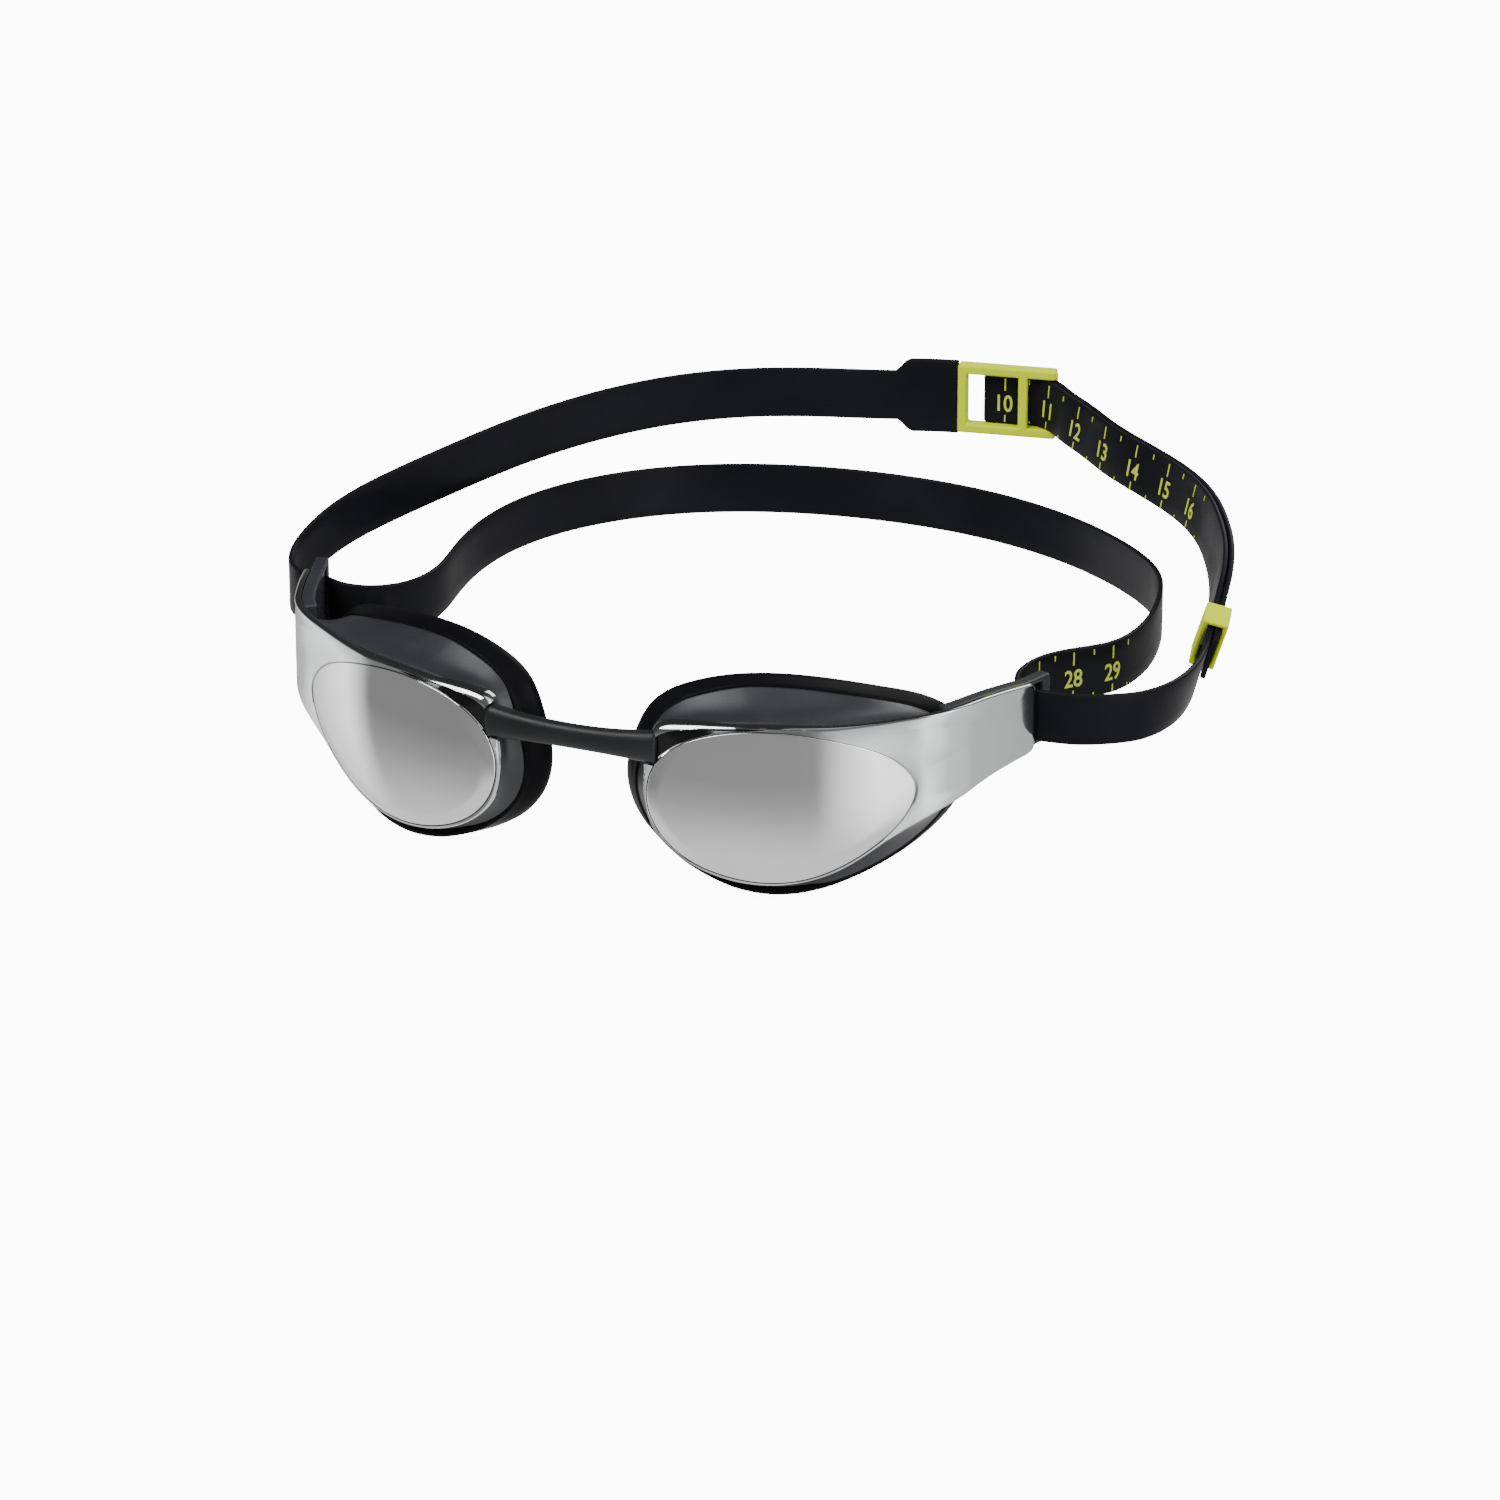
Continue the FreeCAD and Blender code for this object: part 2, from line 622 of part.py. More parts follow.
def buckle():
    half_length = BUCKLE_LENGTH / 2
    half_height = BUCKLE_HEIGHT / 2
    half_thick = BUCKLE_THICKNESS / 2
    frame = box((-half_length, -half_thick, -half_height), (half_length, half_thick, half_height))
    frame = frame.makeFillet(BUCKLE_EDGE, frame.Edges)
    inside = half_height - BUCKLE_RAIL
    left_window = box((WINDOW_LEFT, -5, -inside), (MIDDLE_BAR_LEFT, 5, inside))
    right_window = box((MIDDLE_BAR_LEFT + BUCKLE_BAR, -5, -inside), (WINDOW_RIGHT, 5, inside))
    middle_bar_end = MIDDLE_BAR_LEFT + BUCKLE_BAR
    outside_of_middle_bar = box((MIDDLE_BAR_LEFT - 1, 0, -inside), (middle_bar_end + 1, 5, inside))
    inside_of_end_bar = box((WINDOW_RIGHT - 1, -5, -inside), (half_length + 1, END_BAR_INNER, inside))
    frame = frame.cut(left_window).cut(right_window).cut(outside_of_middle_bar).cut(inside_of_end_bar)
    end_bar = box((WINDOW_RIGHT, END_BAR_INNER, -inside - 1), (half_length - 0.3, END_BAR_OUTER, inside + 1))
    return place_at_buckle(frame.fuse(end_bar)).fuse(buckle_tongue(0)).removeSplitter()


def buckle_fold():
    """The last stretch of the inner layer, its fold and the start of the tail."""
    end = Vector(*SCALE_RUN[-1]) - BUCKLE_CENTRE
    turn = math.radians(-BUCKLE_HEADING)
    start_x = end.x * math.cos(turn) - end.y * math.sin(turn)
    start_n = end.x * math.sin(turn) + end.y * math.cos(turn)
    bend = (STRAP_THICKNESS + LAYER_GAP) / 2
    half = STRAP_THICKNESS / 2
    inner_edge = [Vector(start_x, start_n - half, 0), Vector(FOLD_X, LAYER_INNER - half, 0)]
    outer_n = LAYER_INNER + 2 * bend
    tip = Vector(FOLD_X - bend - half, LAYER_INNER + bend, 0)
    inner_tip = Vector(FOLD_X - bend + half, LAYER_INNER + bend, 0)
    far_top = Vector(start_x, start_n + 2 * bend + half, 0)
    across = Vector(0, STRAP_THICKNESS, 0)
    fold_outside = Vector(FOLD_X, outer_n + half, 0)
    fold_inside_top = fold_outside - across
    fold_inside_low = Vector(FOLD_X, LAYER_INNER + half, 0)
    edges = [
        Part.makeLine(inner_edge[0], inner_edge[1]),
        Part.Arc(inner_edge[1], tip, fold_outside).toShape(),
        Part.makeLine(fold_outside, far_top),
        Part.makeLine(far_top, far_top - across),
        Part.makeLine(far_top - across, fold_inside_top),
        Part.Arc(fold_inside_top, inner_tip, fold_inside_low).toShape(),
        Part.makeLine(fold_inside_low, inner_edge[0] + across),
        Part.makeLine(inner_edge[0] + across, inner_edge[0]),
    ]
    fold = Part.Face(Part.Wire(edges)).extrude(Vector(0, 0, STRAP_WIDTH))
    fold.translate(Vector(0, 0, -STRAP_WIDTH / 2))
    return place_at_buckle(fold)


def keeper():
    """A loop round both layers of the strap."""
    riser = riser_route()
    stack = 2 * STRAP_THICKNESS + LAYER_GAP
    centre_offset = (STRAP_THICKNESS + LAYER_GAP) / 2
    inner = (stack + 2 * KEEPER_CLEARANCE, STRAP_WIDTH + 2 * KEEPER_CLEARANCE)
    outer = (inner[0] + 2 * KEEPER_WALL, inner[1] + 2 * KEEPER_WALL)
    half = KEEPER_LENGTH / 2
    body = box((-half, -outer[0] / 2, -outer[1] / 2), (half, outer[0] / 2, outer[1] / 2))
    body = body.makeFillet(KEEPER_EDGE, body.Edges)
    hole = box((-2 * half, -inner[0] / 2, -inner[1] / 2), (2 * half, inner[0] / 2, inner[1] / 2))
    loop = body.cut(hole)
    p, along, across, out = riser.frame(KEEPER_AT)
    centre = p + out * centre_offset
    side = across.cross(along)
    loop.Placement = FreeCAD.Placement(FreeCAD.Matrix(
        along.x, side.x, across.x, centre.x,
        along.y, side.y, across.y, centre.y,
        along.z, side.z, across.z, centre.z,
        0, 0, 0, 1,
    ))
    return loop


# ------------------------------------------------------------------ the whole object
def all_nodes():
    nodes = {"nose_bridge": nose_bridge()}
    makers = {
        "lens": lens,
        "side_plate": side_plate,
        "arm_backing": arm_backing,
        "eyecup": eyecup,
        "face_seal": face_seal,
        "bridge_socket": bridge_socket,
    }
    for name, make in makers.items():
        shape = make()
        nodes[name + "_left"] = shape
        nodes[name + "_right"] = mirrored(shape)
    nodes.update(strap_pieces())
    nodes["strap_buckle"] = buckle()
    nodes["strap_keeper"] = keeper()
    return nodes


def main():
    os.makedirs("parts", exist_ok=True)
    nodes = all_nodes()
    whole = Part.makeCompound(list(nodes.values())).optimalBoundingBox(False, False)
    shift = Vector(-(whole.XMin + whole.XMax) / 2, -(whole.YMin + whole.YMax) / 2, -whole.ZMin)
    for name, shape in nodes.items():
        shape.translate(shift)
        shape.exportStep("parts/" + name + ".step")
        state = "" if shape.isValid() and len(shape.Solids) == 1 else "  CHECK"
        print(f"{name:26s} solids {len(shape.Solids)}  volume {shape.Volume:8.1f}{state}")
    print("moved by", [round(v, 3) for v in shift])
    print("size", round(whole.XLength, 2), round(whole.YLength, 2), round(whole.ZLength, 2))


main()
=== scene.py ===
import json
import math

import bmesh
import bpy
import numpy as np
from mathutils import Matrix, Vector

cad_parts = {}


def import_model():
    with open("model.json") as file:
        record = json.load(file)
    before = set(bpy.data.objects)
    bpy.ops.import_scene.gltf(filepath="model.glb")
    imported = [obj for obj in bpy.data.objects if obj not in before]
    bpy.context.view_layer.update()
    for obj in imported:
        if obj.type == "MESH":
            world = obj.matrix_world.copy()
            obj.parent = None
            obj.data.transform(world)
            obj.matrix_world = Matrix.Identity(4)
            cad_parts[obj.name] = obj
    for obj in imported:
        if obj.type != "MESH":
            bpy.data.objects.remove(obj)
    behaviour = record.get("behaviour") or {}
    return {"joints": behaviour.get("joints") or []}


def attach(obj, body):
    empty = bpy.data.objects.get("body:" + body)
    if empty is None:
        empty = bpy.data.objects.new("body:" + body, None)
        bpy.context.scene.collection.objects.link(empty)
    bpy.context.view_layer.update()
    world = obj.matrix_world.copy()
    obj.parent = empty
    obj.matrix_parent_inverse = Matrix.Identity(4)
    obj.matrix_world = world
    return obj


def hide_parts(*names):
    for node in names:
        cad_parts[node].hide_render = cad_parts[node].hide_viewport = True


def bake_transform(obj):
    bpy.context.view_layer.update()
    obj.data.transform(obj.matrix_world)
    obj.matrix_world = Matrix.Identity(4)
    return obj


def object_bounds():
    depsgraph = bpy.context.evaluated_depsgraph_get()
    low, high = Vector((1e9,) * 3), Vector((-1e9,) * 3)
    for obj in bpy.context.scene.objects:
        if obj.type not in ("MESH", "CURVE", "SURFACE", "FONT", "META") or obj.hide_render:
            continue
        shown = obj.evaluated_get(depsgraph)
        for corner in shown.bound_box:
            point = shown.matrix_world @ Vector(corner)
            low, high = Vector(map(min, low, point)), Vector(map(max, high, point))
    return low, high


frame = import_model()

# Swim goggles. The shapes are drawn in millimetres, in the drawing frame of the CAD model: the
# symmetry plane of the eyepieces at X = 0, the nose side of the lens rims at Y = 0, the floor near
# Z = 0. The wearer looks along -Y and the wearer's left is +X. world() moves them to the frame.

MM = 0.001
SIDES = {1: "left", -1: "right"}
CAD_LOW, CAD_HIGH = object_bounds()

# The strap loops swing about a line through both arm slots, at this place in the drawing frame.
SLOT_Y = 53.0
SLOT_Z = 33.8
SWING = next(j for j in frame["joints"] if j["name"] == "upper_loop_swing")
ORIGIN = np.array(SWING["pos_m"]) - np.array([0, SLOT_Y, SLOT_Z]) * MM

# ---- eyepiece wall: three arcs in plan (start heading, then length and turn of each)
NOSE_GAP_HALF = 16.9
LENS_HEADING = 12.0
WALL_ARCS = [(59.0, 18.0), (14.0, 38.0), (23.0, 4.0)]

# ---- lens and side plate, on the unrolled wall: (distance from the nose, height)
LENS_MID_Z = 23.0
LENS_CURVE = 80.0
LENS_THICKNESS = 2.0
LENS_HOLLOW = 0.4
LENS_EDGE_WIDTH = 0.1
LENS_EDGE_DROP = 0.12
SEAM_TIP = 58.9
SEAM_GAP = 0.1
PLATE_THICKNESS = 1.5
# The dome stands out from the wall at the nose and its edge rolls back there; the plate rises to meet
# the dome over the flush reach. Each share below is (places, shares at them).
NOSE_LIFT = 0.5
EDGE_ROLL = 1.0
ROLL_WIDTH = 3.5
ROLL_BY_X = ((20, 30, 66, 72), (1.0, 0.6, 0.5, 0.0))
ROLL_BY_Z = ((27, 37), (1.0, 0.0))
FLUSH_REACH = 12.0
SEAM_OUTLINE = [
    (0.8, 24.5), (2.8, 31.2), (7.8, 36.0), (16.5, 39.3), (27.0, 40.4), (38.0, 39.2),
    (47.5, 36.7), (55.2, 32.5), (58.9, 27.0), (57.6, 21.4), (52.2, 15.0), (43.8, 9.2),
    (35.0, 5.8), (26.0, 5.1), (16.0, 7.1), (8.0, 11.1), (2.6, 17.2),
]
PLATE_TOP = [
    (0.1, 24.5), (0.4, 31.0), (1.0, 36.2), (2.8, 39.6), (7.0, 40.9), (14.0, 41.3), (24.0, 41.4),
    (34.0, 41.3), (44.0, 41.3), (53.0, 42.0), (62.0, 43.0), (74.0, 43.6), (86.0, 42.9), (93.4, 42.1),
]
PLATE_BOTTOM = [
    (93.4, 26.5), (86.0, 26.0), (78.0, 24.9), (70.5, 22.9), (63.0, 20.1), (57.5, 17.2), (51.5, 13.3),
    (43.5, 8.1), (34.5, 5.0), (25.5, 4.3), (15.5, 6.4), (7.2, 10.7), (1.8, 17.0), (0.1, 24.5),
]
ARM_CORNER = 1.6
# The plate's outer edge and its edge by the seam: (distance in from the edge, depth). The strips along
# them take at most EDGE_SHARE of its width each.
PLATE_EDGE = [(1.3, 0.0), (0.7, 0.03), (0.35, 0.14), (0.1, 0.36), (0.0, 0.65), (0.0, 1.2), (0.3, 1.5)]
SEAM_EDGE = [(0.0, 0.3), (0.04, 0.06), (0.12, 0.0), (0.5, 0.0), (1.2, 0.0), (2.5, 0.0), (5.0, 0.0)]
EDGE_SHARE = 0.35
PLATE_MIDDLE = (0.36, 0.64, 8)
# The bevel is wider and deeper at the corner above the bridge's end.
CORNER_BY_S = ((6, 20), (1.0, 0.0))
CORNER_BY_Z = ((33, 38), (0.0, 1.0))
CORNER_EXTRA_DEPTH = 2.2
CORNER_EDGE_DEPTH = 2.5
CORNER_EDGE_WIDTH = 1.2
# The dark well above the bridge's end, between that bevel and the dome: its outer side with the depth
# of its floor, its inner side, and how far its floor lies below the dome's edge.
WELL_OUTER = [
    (1.9, 31.0, 1.0), (2.3, 35.0, 1.0), (3.4, 37.6, 1.0), (6.4, 39.2, 0.9), (11.0, 40.1, 0.5),
    (17.0, 40.7, 0.0), (24.0, 40.95, -0.4), (27.0, 40.9, -0.5),
]
WELL_INNER = [
    (2.6, 31.3), (3.7, 33.0), (5.0, 34.25), (7.6, 36.2), (12.0, 38.1), (16.5, 39.55), (22.0, 40.35),
    (27.0, 40.8),
]
WELL_EDGE = 0.3
WELL_FLOOR = 1.5
WELL_CUT = (0.1, -4.0)
# Which point of the seam faces which point of the plate's edge.
PLATE_MATCH = [
    ((0.8, 24.5), (0.1, 24.5)), ((2.8, 31.2), (0.4, 32.0)), ((5.2, 34.2), (1.3, 37.4)),
    ((7.8, 36.0), (3.6, 40.1)), ((12.0, 37.9), (9.0, 41.1)), ((19.0, 39.8), (18.5, 41.4)),
    ((27.0, 40.4), (27.0, 41.4)), ((38.0, 39.2), (40.0, 41.3)), ((47.5, 36.7), (56.0, 42.3)),
    ((55.2, 32.5), (76.0, 43.6)), ((58.0, 29.7), (93.4, 42.1)), ((58.9, 27.0), (93.4, 34.6)),
    ((58.7, 24.3), (93.4, 26.5)), ((57.6, 21.4), (77.0, 24.7)), ((55.3, 18.3), (61.0, 19.1)),
    ((52.2, 15.0), (53.2, 14.4)), ((43.8, 9.2), (44.2, 8.5)), ((35.0, 5.8), (35.0, 5.1)),
    ((26.0, 5.1), (25.7, 4.3)), ((16.0, 7.1), (15.5, 6.4)), ((8.0, 11.1), (7.2, 10.7)),
    ((2.6, 17.2), (1.8, 17.0)),
]

# ---- eyecup: each station joins a point of its front edge to a point of the seal (X, Y, Z)
CUP_STATIONS = [
    ((0.6, 24.5), (9.0, 10.5, 25.0)),
    ((1.2, 32.0), (10.7, 10.7, 33.5)),
    ((3.6, 38.8), (15.0, 12.3, 41.5)),
    ((12.0, 40.8), (22.0, 14.8, 45.3)),
    ((25.0, 41.1), (34.0, 19.0, 47.5)),
    ((40.0, 41.0), (48.0, 24.8, 46.6)),
    ((54.0, 41.5), (60.0, 31.0, 44.0)),
    ((67.0, 40.5), (70.0, 38.0, 39.5)),
    ((75.5, 33.0), (76.0, 42.0, 31.0)),
    ((75.0, 26.5), (75.5, 41.0, 21.0)),
    ((67.0, 21.4), (70.0, 33.0, 11.5)),
    ((58.5, 18.0), (61.0, 24.5, 5.0)),
    ((49.0, 11.8), (51.0, 18.0, 1.2)),
    ((40.0, 6.9), (43.0, 15.0, 0.2)),
    ((31.0, 4.8), (34.0, 13.2, 1.2)),
    ((20.0, 5.6), (24.0, 12.3, 4.6)),
    ((10.0, 9.4), (16.0, 11.6, 9.6)),
    ((3.2, 15.7), (11.0, 11.0, 16.0)),
]
CUP_WALL = 1.6
CUP_GAP = 0.08
CUP_TUCK = 0.35
CUP_BACK = 0.4
CUP_HOLLOW = 0.9
CUP_HOLLOW_POWER = 1.2
CUP_ROWS = 14
# How far the seal's front edge lies inside its outline, at each station: a wide shoulder at the nose.
SEAL_SHOULDER = [3.6, 3.8, 3.2, 1.6, 0.6, 0.5, 0.5, 0.5, 0.5, 0.5, 0.5, 0.5, 0.5, 0.5, 0.6, 1.2, 2.4, 3.2]
SEAL_FRONT = 4.6
# The seal's section: (share of the shoulder, distance in, Y from the seal's outline).
SEAL_SECTION = [
    (1, 1.8, -SEAL_FRONT), (1, 0.5, -SEAL_FRONT), (1, 0.12, 0.16 - SEAL_FRONT), (1, 0.0, 0.55 - SEAL_FRONT),
    (0.72, 0.0, 1.3 - SEAL_FRONT), (0.35, 0.0, -1.9), (0.1, 0.0, -0.9), (0.0, 0.0, 0.1), (0.0, 0.08, 1.0),
    (0.0, 0.45, 1.75), (0.0, 1.1, 2.25), (0.0, 1.9, 2.35), (0.0, 2.7, 2.1), (0.0, 3.2, 1.4),
    (0.0, 3.4, 0.4), (0.3, 3.2, -0.9), (0.8, 2.6, -2.2), (1, 2.2, -3.6),
]
# Points round each closed outline.
AROUND = 288

# ---- nose bridge
BRIDGE_Z = 34.5
BRIDGE_END_X = 19.6
BRIDGE_END_HEIGHT = 7.8
BRIDGE_MID_HEIGHT = 5.4
BRIDGE_END_DEPTH = 5.0
BRIDGE_MID_DEPTH = 4.0
BRIDGE_END_Y = 2.6
BRIDGE_MID_Y = 1.2
BRIDGE_LAP = 0.4
BRIDGE_FLARE_POWER = 2.2
BRIDGE_SQUARENESS = 0.8
# The rounded rim of its ends: (share of the half length, share of the section).
BRIDGE_RIM = [(1.0, 0.55), (0.9985, 0.8), (0.992, 0.93), (0.98, 1.0)]
# The notch for its end: (X, how much further back, how much deeper).
NOTCH_MARGIN = 0.85
NOTCH_STATIONS = [(NOSE_GAP_HALF - 4, 0.0, 0.0), (BRIDGE_END_X, 0.5, 1.0), (BRIDGE_END_X + 1.0, 0.8, 0.0)]

# ---- arm backing, with the strap slot and its post
BACKING_START = 66.0
BACKING_END = 92.6
BACKING_DEPTH = 4.6
BACKING_GAP = 0.05
BACKING_TRIM = 0.1
BACKING_EDGE = 0.5
SLOT_START = 94.8
POST_START = 97.1
POST_END = 100.1
LINK_SHARE = 0.075
ARM_SHARES = [0.0, LINK_SHARE, 0.35, 0.65, 1 - LINK_SHARE, 1.0]

# ---- strap
STRAP_WIDTH = 12.0
STRAP_THICKNESS = 1.2
STRAP_EDGE = 0.4
TAB_WIDTH = 17.5
TAB_THICKNESS = 2.2
TAB_WIDENS = (-0.6, 2.2)
TAB_THICKENS = (-0.6, 1.5)
LAYER_STEP = 1.5
RISER_START = (111.3, 90.0, 35.6)
RISER_MIDDLE = (109.35, 100.5, 40.1)
RISER_END = (107.4, 111.0, 44.6)
RISER_LEAN = 16.0
OUTER_RUN = [
    (84.2, 52.4, 33.8), (88.7, 52.6, 33.8), (95.4, 53.3, 33.8), (102.0, 56.2, 33.8),
    (107.9, 61.0, 33.8), (111.2, 68.0, 33.8), (112.4, 77.0, 33.9), RISER_START,
]
SCALE_RUN = [
    RISER_END, (104.6, 119.5, 47.6), (100.4, 128.0, 49.3), (94.8, 137.0, 50.5), (88.5, 143.8, 51.6),
    (80.5, 149.6, 52.7), (71.5, 154.6, 53.9), (62.5, 160.0, 55.1), (54.5, 165.8, 56.4),
    (49.0, 169.0, 57.5), (44.9, 171.9, 58.2), (41.0, 173.4, 58.5),
]
UPPER_RUN = [
    (-84.2, 52.6, 33.8), (-89.2, 53.2, 33.8), (-93.6, 56.0, 34.2), (-96.3, 61.5, 35.0),
    (-97.0, 69.0, 36.7), (-94.3, 86.0, 40.0), (-87.3, 99.7, 43.0), (-80.5, 109.8, 45.5),
    (-69.7, 125.2, 49.0), (-55.8, 140.4, 52.3), (-45.3, 148.2, 54.2), (-25.2, 157.8, 56.5),
    (-8.0, 162.6, 57.4), (9.5, 166.3, 58.1), (16.0, 167.9, 58.4), (22.8, 169.5, 58.5),
]
LOWER_RUN = [
    (-84.2, 52.6, 33.8), (-80.0, 50.9, 33.8), (-72.0, 51.0, 33.8), (-65.5, 57.5, 33.6),
    (-63.5, 68.0, 33.4), (-65.5, 82.0, 33.0), (-67.5, 98.0, 32.5), (-66.5, 115.0, 32.0),
    (-60.0, 133.0, 31.6), (-47.0, 149.0, 31.4), (-27.0, 161.0, 31.4), (-1.0, 167.5, 31.4),
    (25.0, 167.5, 31.4), (50.0, 160.5, 31.6), (72.0, 147.0, 32.0), (86.5, 131.0, 32.4),
    (91.5, 118.0, 32.8), (94.0, 106.0, 33.1), (94.4, 94.0, 33.4), (92.0, 84.8, 33.6),
    (86.0, 77.8, 33.7), (81.6, 71.5, 33.8), (79.8, 65.0, 33.8), (80.3, 58.5, 33.8),
    (82.4, 54.2, 33.8), (84.2, 52.4, 33.8),
]
LOWER_MIDDLE = 11
# Where each strap begins and ends its bend between the eyepieces and its loop.
RIGHT_UPPER_BEND = ((-86, 50, 34), (-96, 62, 34))
RIGHT_LOWER_BEND = ((-82, 48, 34), (-66, 60, 34))
LEFT_LOWER_BEND = ((80, 54, 34), (80, 66, 34))
LEFT_UPPER_BEND = ((87, 50, 34), (99, 62, 34))

# ---- printed scale, in mm along and across the strap: marks, figures and their places
WHOLE_MARKS = [(2.2, 5.2), (-5.5, -3.8)]
WHOLE_MARK_WIDTH = 0.34
HALF_MARKS = [(4.0, 5.2), (-5.5, -4.9)]
HALF_MARK_WIDTH = 0.3
FIGURE_HEIGHT = 4.1
FIGURE_NARROWING = 0.80
FIGURE_DROP = 0.9
FIGURE_BOLDNESS = 0.012
PRINT_HALF = 0.05
PRINT_LIFT = 0.06
REAR_NUMBERS = range(10, 17)
REAR_START = -7.9
REAR_SPACING = 11.2
LEG_NUMBERS = range(27, 30)
LEG_START = 18.3
LEG_SPACING = 9.8

# ---- buckle and keeper
BUCKLE_CENTRE = (34.3, 171.6, 58.5)
BUCKLE_HEADING = 10.0
BUCKLE_HALF_LENGTH = 11.4
BUCKLE_HALF_HEIGHT = 8.3
BUCKLE_HALF_THICKNESS = 1.8
BUCKLE_RAIL = 2.2
BUCKLE_EDGE = 0.55
TAB_LAP = 0.25
WINDOW_START = -9.5
CROSSBAR = (2.6, 4.8)
CROSSBAR_BACK = 0.0
END_BAR_START = 10.0
END_BAR_DEPTHS = (1.45, 2.6)
BAR_INSET = 0.02
FOLD_X = -4.6
FOLD_N = 0.85
FOLD_ENTRY = [(3.2, 0.72), (-0.6, 0.8), (-3.4, FOLD_N)]
TAIL_END = 2.0
KEEPER_AT = 9.0
KEEPER_LENGTH = 6.0
KEEPER_WALL = 1.1
KEEPER_CLEARANCE = 0.45
KEEPER_EDGE = 0.45

# ---- the camera stands in front, to the wearer's left and above
CAMERA_AZIMUTH = 23.0
CAMERA_ELEVATION = 22.94
CAMERA_DISTANCE = 1500.0
CAMERA_TARGET = (33.69, 20.0, 29.38)
CAMERA_LENS = 167.4
SENSOR_WIDTH = 36.0

# ---- studio: brightness by direction, as (degrees round from the front, level) and (sine of the
# height, share). The front is grey, the floor and the two sides are bright, and the top is dark.
# Lamps are (name, place from the middle in metres, size, power).
BACKDROP_LEVEL = 12.0
FLOOR_GLOW = 10.0
FLOOR_LEVEL = 1.55
BACK_LEVEL = 0.3
HIGH_BACK_LEVEL = 0.1
MATT_LEVEL = 1.0
LOW_STOPS = [
    (-155, 0.4), (-135, 0.7), (-115, 1.2), (-99, 2.3), (-86, 3.2), (-80, 1.8), (-74, 0.42), (-36, 0.45),
    (-16, 0.52), (32, 0.58), (42, 2.4), (52, 3.8), (66, 3.3), (80, 1.9), (102, 1.6), (113, 1.3), (121, 1.1),
    (140, 0.5), (160, 0.3),
]
HIGH_STOPS = [(-150, 0.06), (-90, 0.08), (-40, 0.2), (30, 0.25), (60, 1.0), (75, 2.6), (100, 2.6), (114, 0.2)]
FLOOR_SHARE_STOPS = [(-0.65, 1.0), (-0.56, 0.75), (-0.47, 0.42), (-0.38, 0.18), (-0.25, 0.0)]
HIGH_SHARE_STOPS = [(0.02, 0.0), (0.2, 1.0)]
FLOOR_SIZE = 12
STUDIO_MIDDLE = (0, 90, 30)
LAMPS = [
    ("key_light", (-0.55, -0.75, 1.25), 0.9, 26.0),
    ("fill_light", (1.2, -0.5, 0.8), 0.8, 12.0),
    ("rear_light", (0.3, 1.3, 1.0), 1.0, 14.0),
]


# ---- curves and places
def world(points):
    return ORIGIN + np.asarray(points, float) * MM


def spline(points, closed=False):
    """A smooth curve through points. Returns a function of distance, and each point's distance."""
    p = np.array(points, float)
    if closed:
        p = np.vstack([p, p[:1]])
    at = np.concatenate([[0], np.cumsum(np.linalg.norm(np.diff(p, axis=0), axis=1))])
    n = len(at)
    h = np.diff(at)
    slope = np.diff(p, axis=0) / h[:, None]
    a = np.zeros((n, n))
    b = np.zeros_like(p)
    for i in range(1, n - 1):
        a[i, i - 1: i + 2] = h[i - 1], 2 * (h[i - 1] + h[i]), h[i]
        b[i] = 6 * (slope[i] - slope[i - 1])
    if closed:
        a[0, 0], a[0, -1] = 1, -1
        a[-1, 0], a[-1, 1], a[-1, -2], a[-1, -1] = 2 * h[0], h[0], h[-1], 2 * h[-1]
        b[-1] = 6 * (slope[0] - slope[-1])
    else:
        a[0, 0] = a[-1, -1] = 1
    m = np.linalg.solve(a, b)

    def curve(u):
        u = np.atleast_1d(np.asarray(u, float))
        if closed:
            u = u % at[-1]
        i = np.clip(np.searchsorted(at, u, "right") - 1, 0, n - 2)
        hi = h[i][:, None]
        left = (at[i + 1] - u)[:, None]
        right = (u - at[i])[:, None]
        cubic = (m[i] * left**3 + m[i + 1] * right**3) / (6 * hi)
        line = (p[i] / hi - m[i] * hi / 6) * left + (p[i + 1] / hi - m[i + 1] * hi / 6) * right
        return cubic + line

    return curve, at


def nearest(curve, length, point, floor=0.0):
    """The distance along a curve, past floor, where it comes nearest to a point."""
    u = np.linspace(floor, length, 4000)
    return u[np.argmin(np.linalg.norm(curve(u) - np.array(point), axis=1))]


def wall(s, depth):
    """Plan position (X, Y) of the wall at a distance from the nose and a depth behind its face."""
    s = np.asarray(s, float)
    depth = np.broadcast_to(np.asarray(depth, float), s.shape)
    x = np.zeros_like(s)
    y = np.zeros_like(s)
    begin = 0.0
    start = np.array([NOSE_GAP_HALF, 0.0])
    heading = math.radians(LENS_HEADING)
    for i, (length, turn_degrees) in enumerate(WALL_ARCS):
        turn = math.radians(turn_degrees)
        radius = length / turn
        last = i == len(WALL_ARCS) - 1
        here = (s >= begin if i else s > -1e9) & (s < begin + length if not last else True)
        angle = heading + (s - begin) / radius
        px = start[0] + radius * (np.sin(angle) - math.sin(heading)) - depth * np.sin(angle)
        py = start[1] + radius * (math.cos(heading) - np.cos(angle)) + depth * np.cos(angle)
        x = np.where(here, px, x)
        y = np.where(here, py, y)
        start = start + radius * np.array([
            math.sin(heading + turn) - math.sin(heading),
            math.cos(heading) - math.cos(heading + turn),
        ])
        heading += turn
        begin += length
    return x, y


def on_wall(outline, depth):
    """Unrolled (distance, height) points at a depth, as X, Y, Z."""
    outline = np.asarray(outline, float)
    x, y = wall(outline[..., 0], depth)
    return np.stack([x, y, outline[..., 1]], -1)


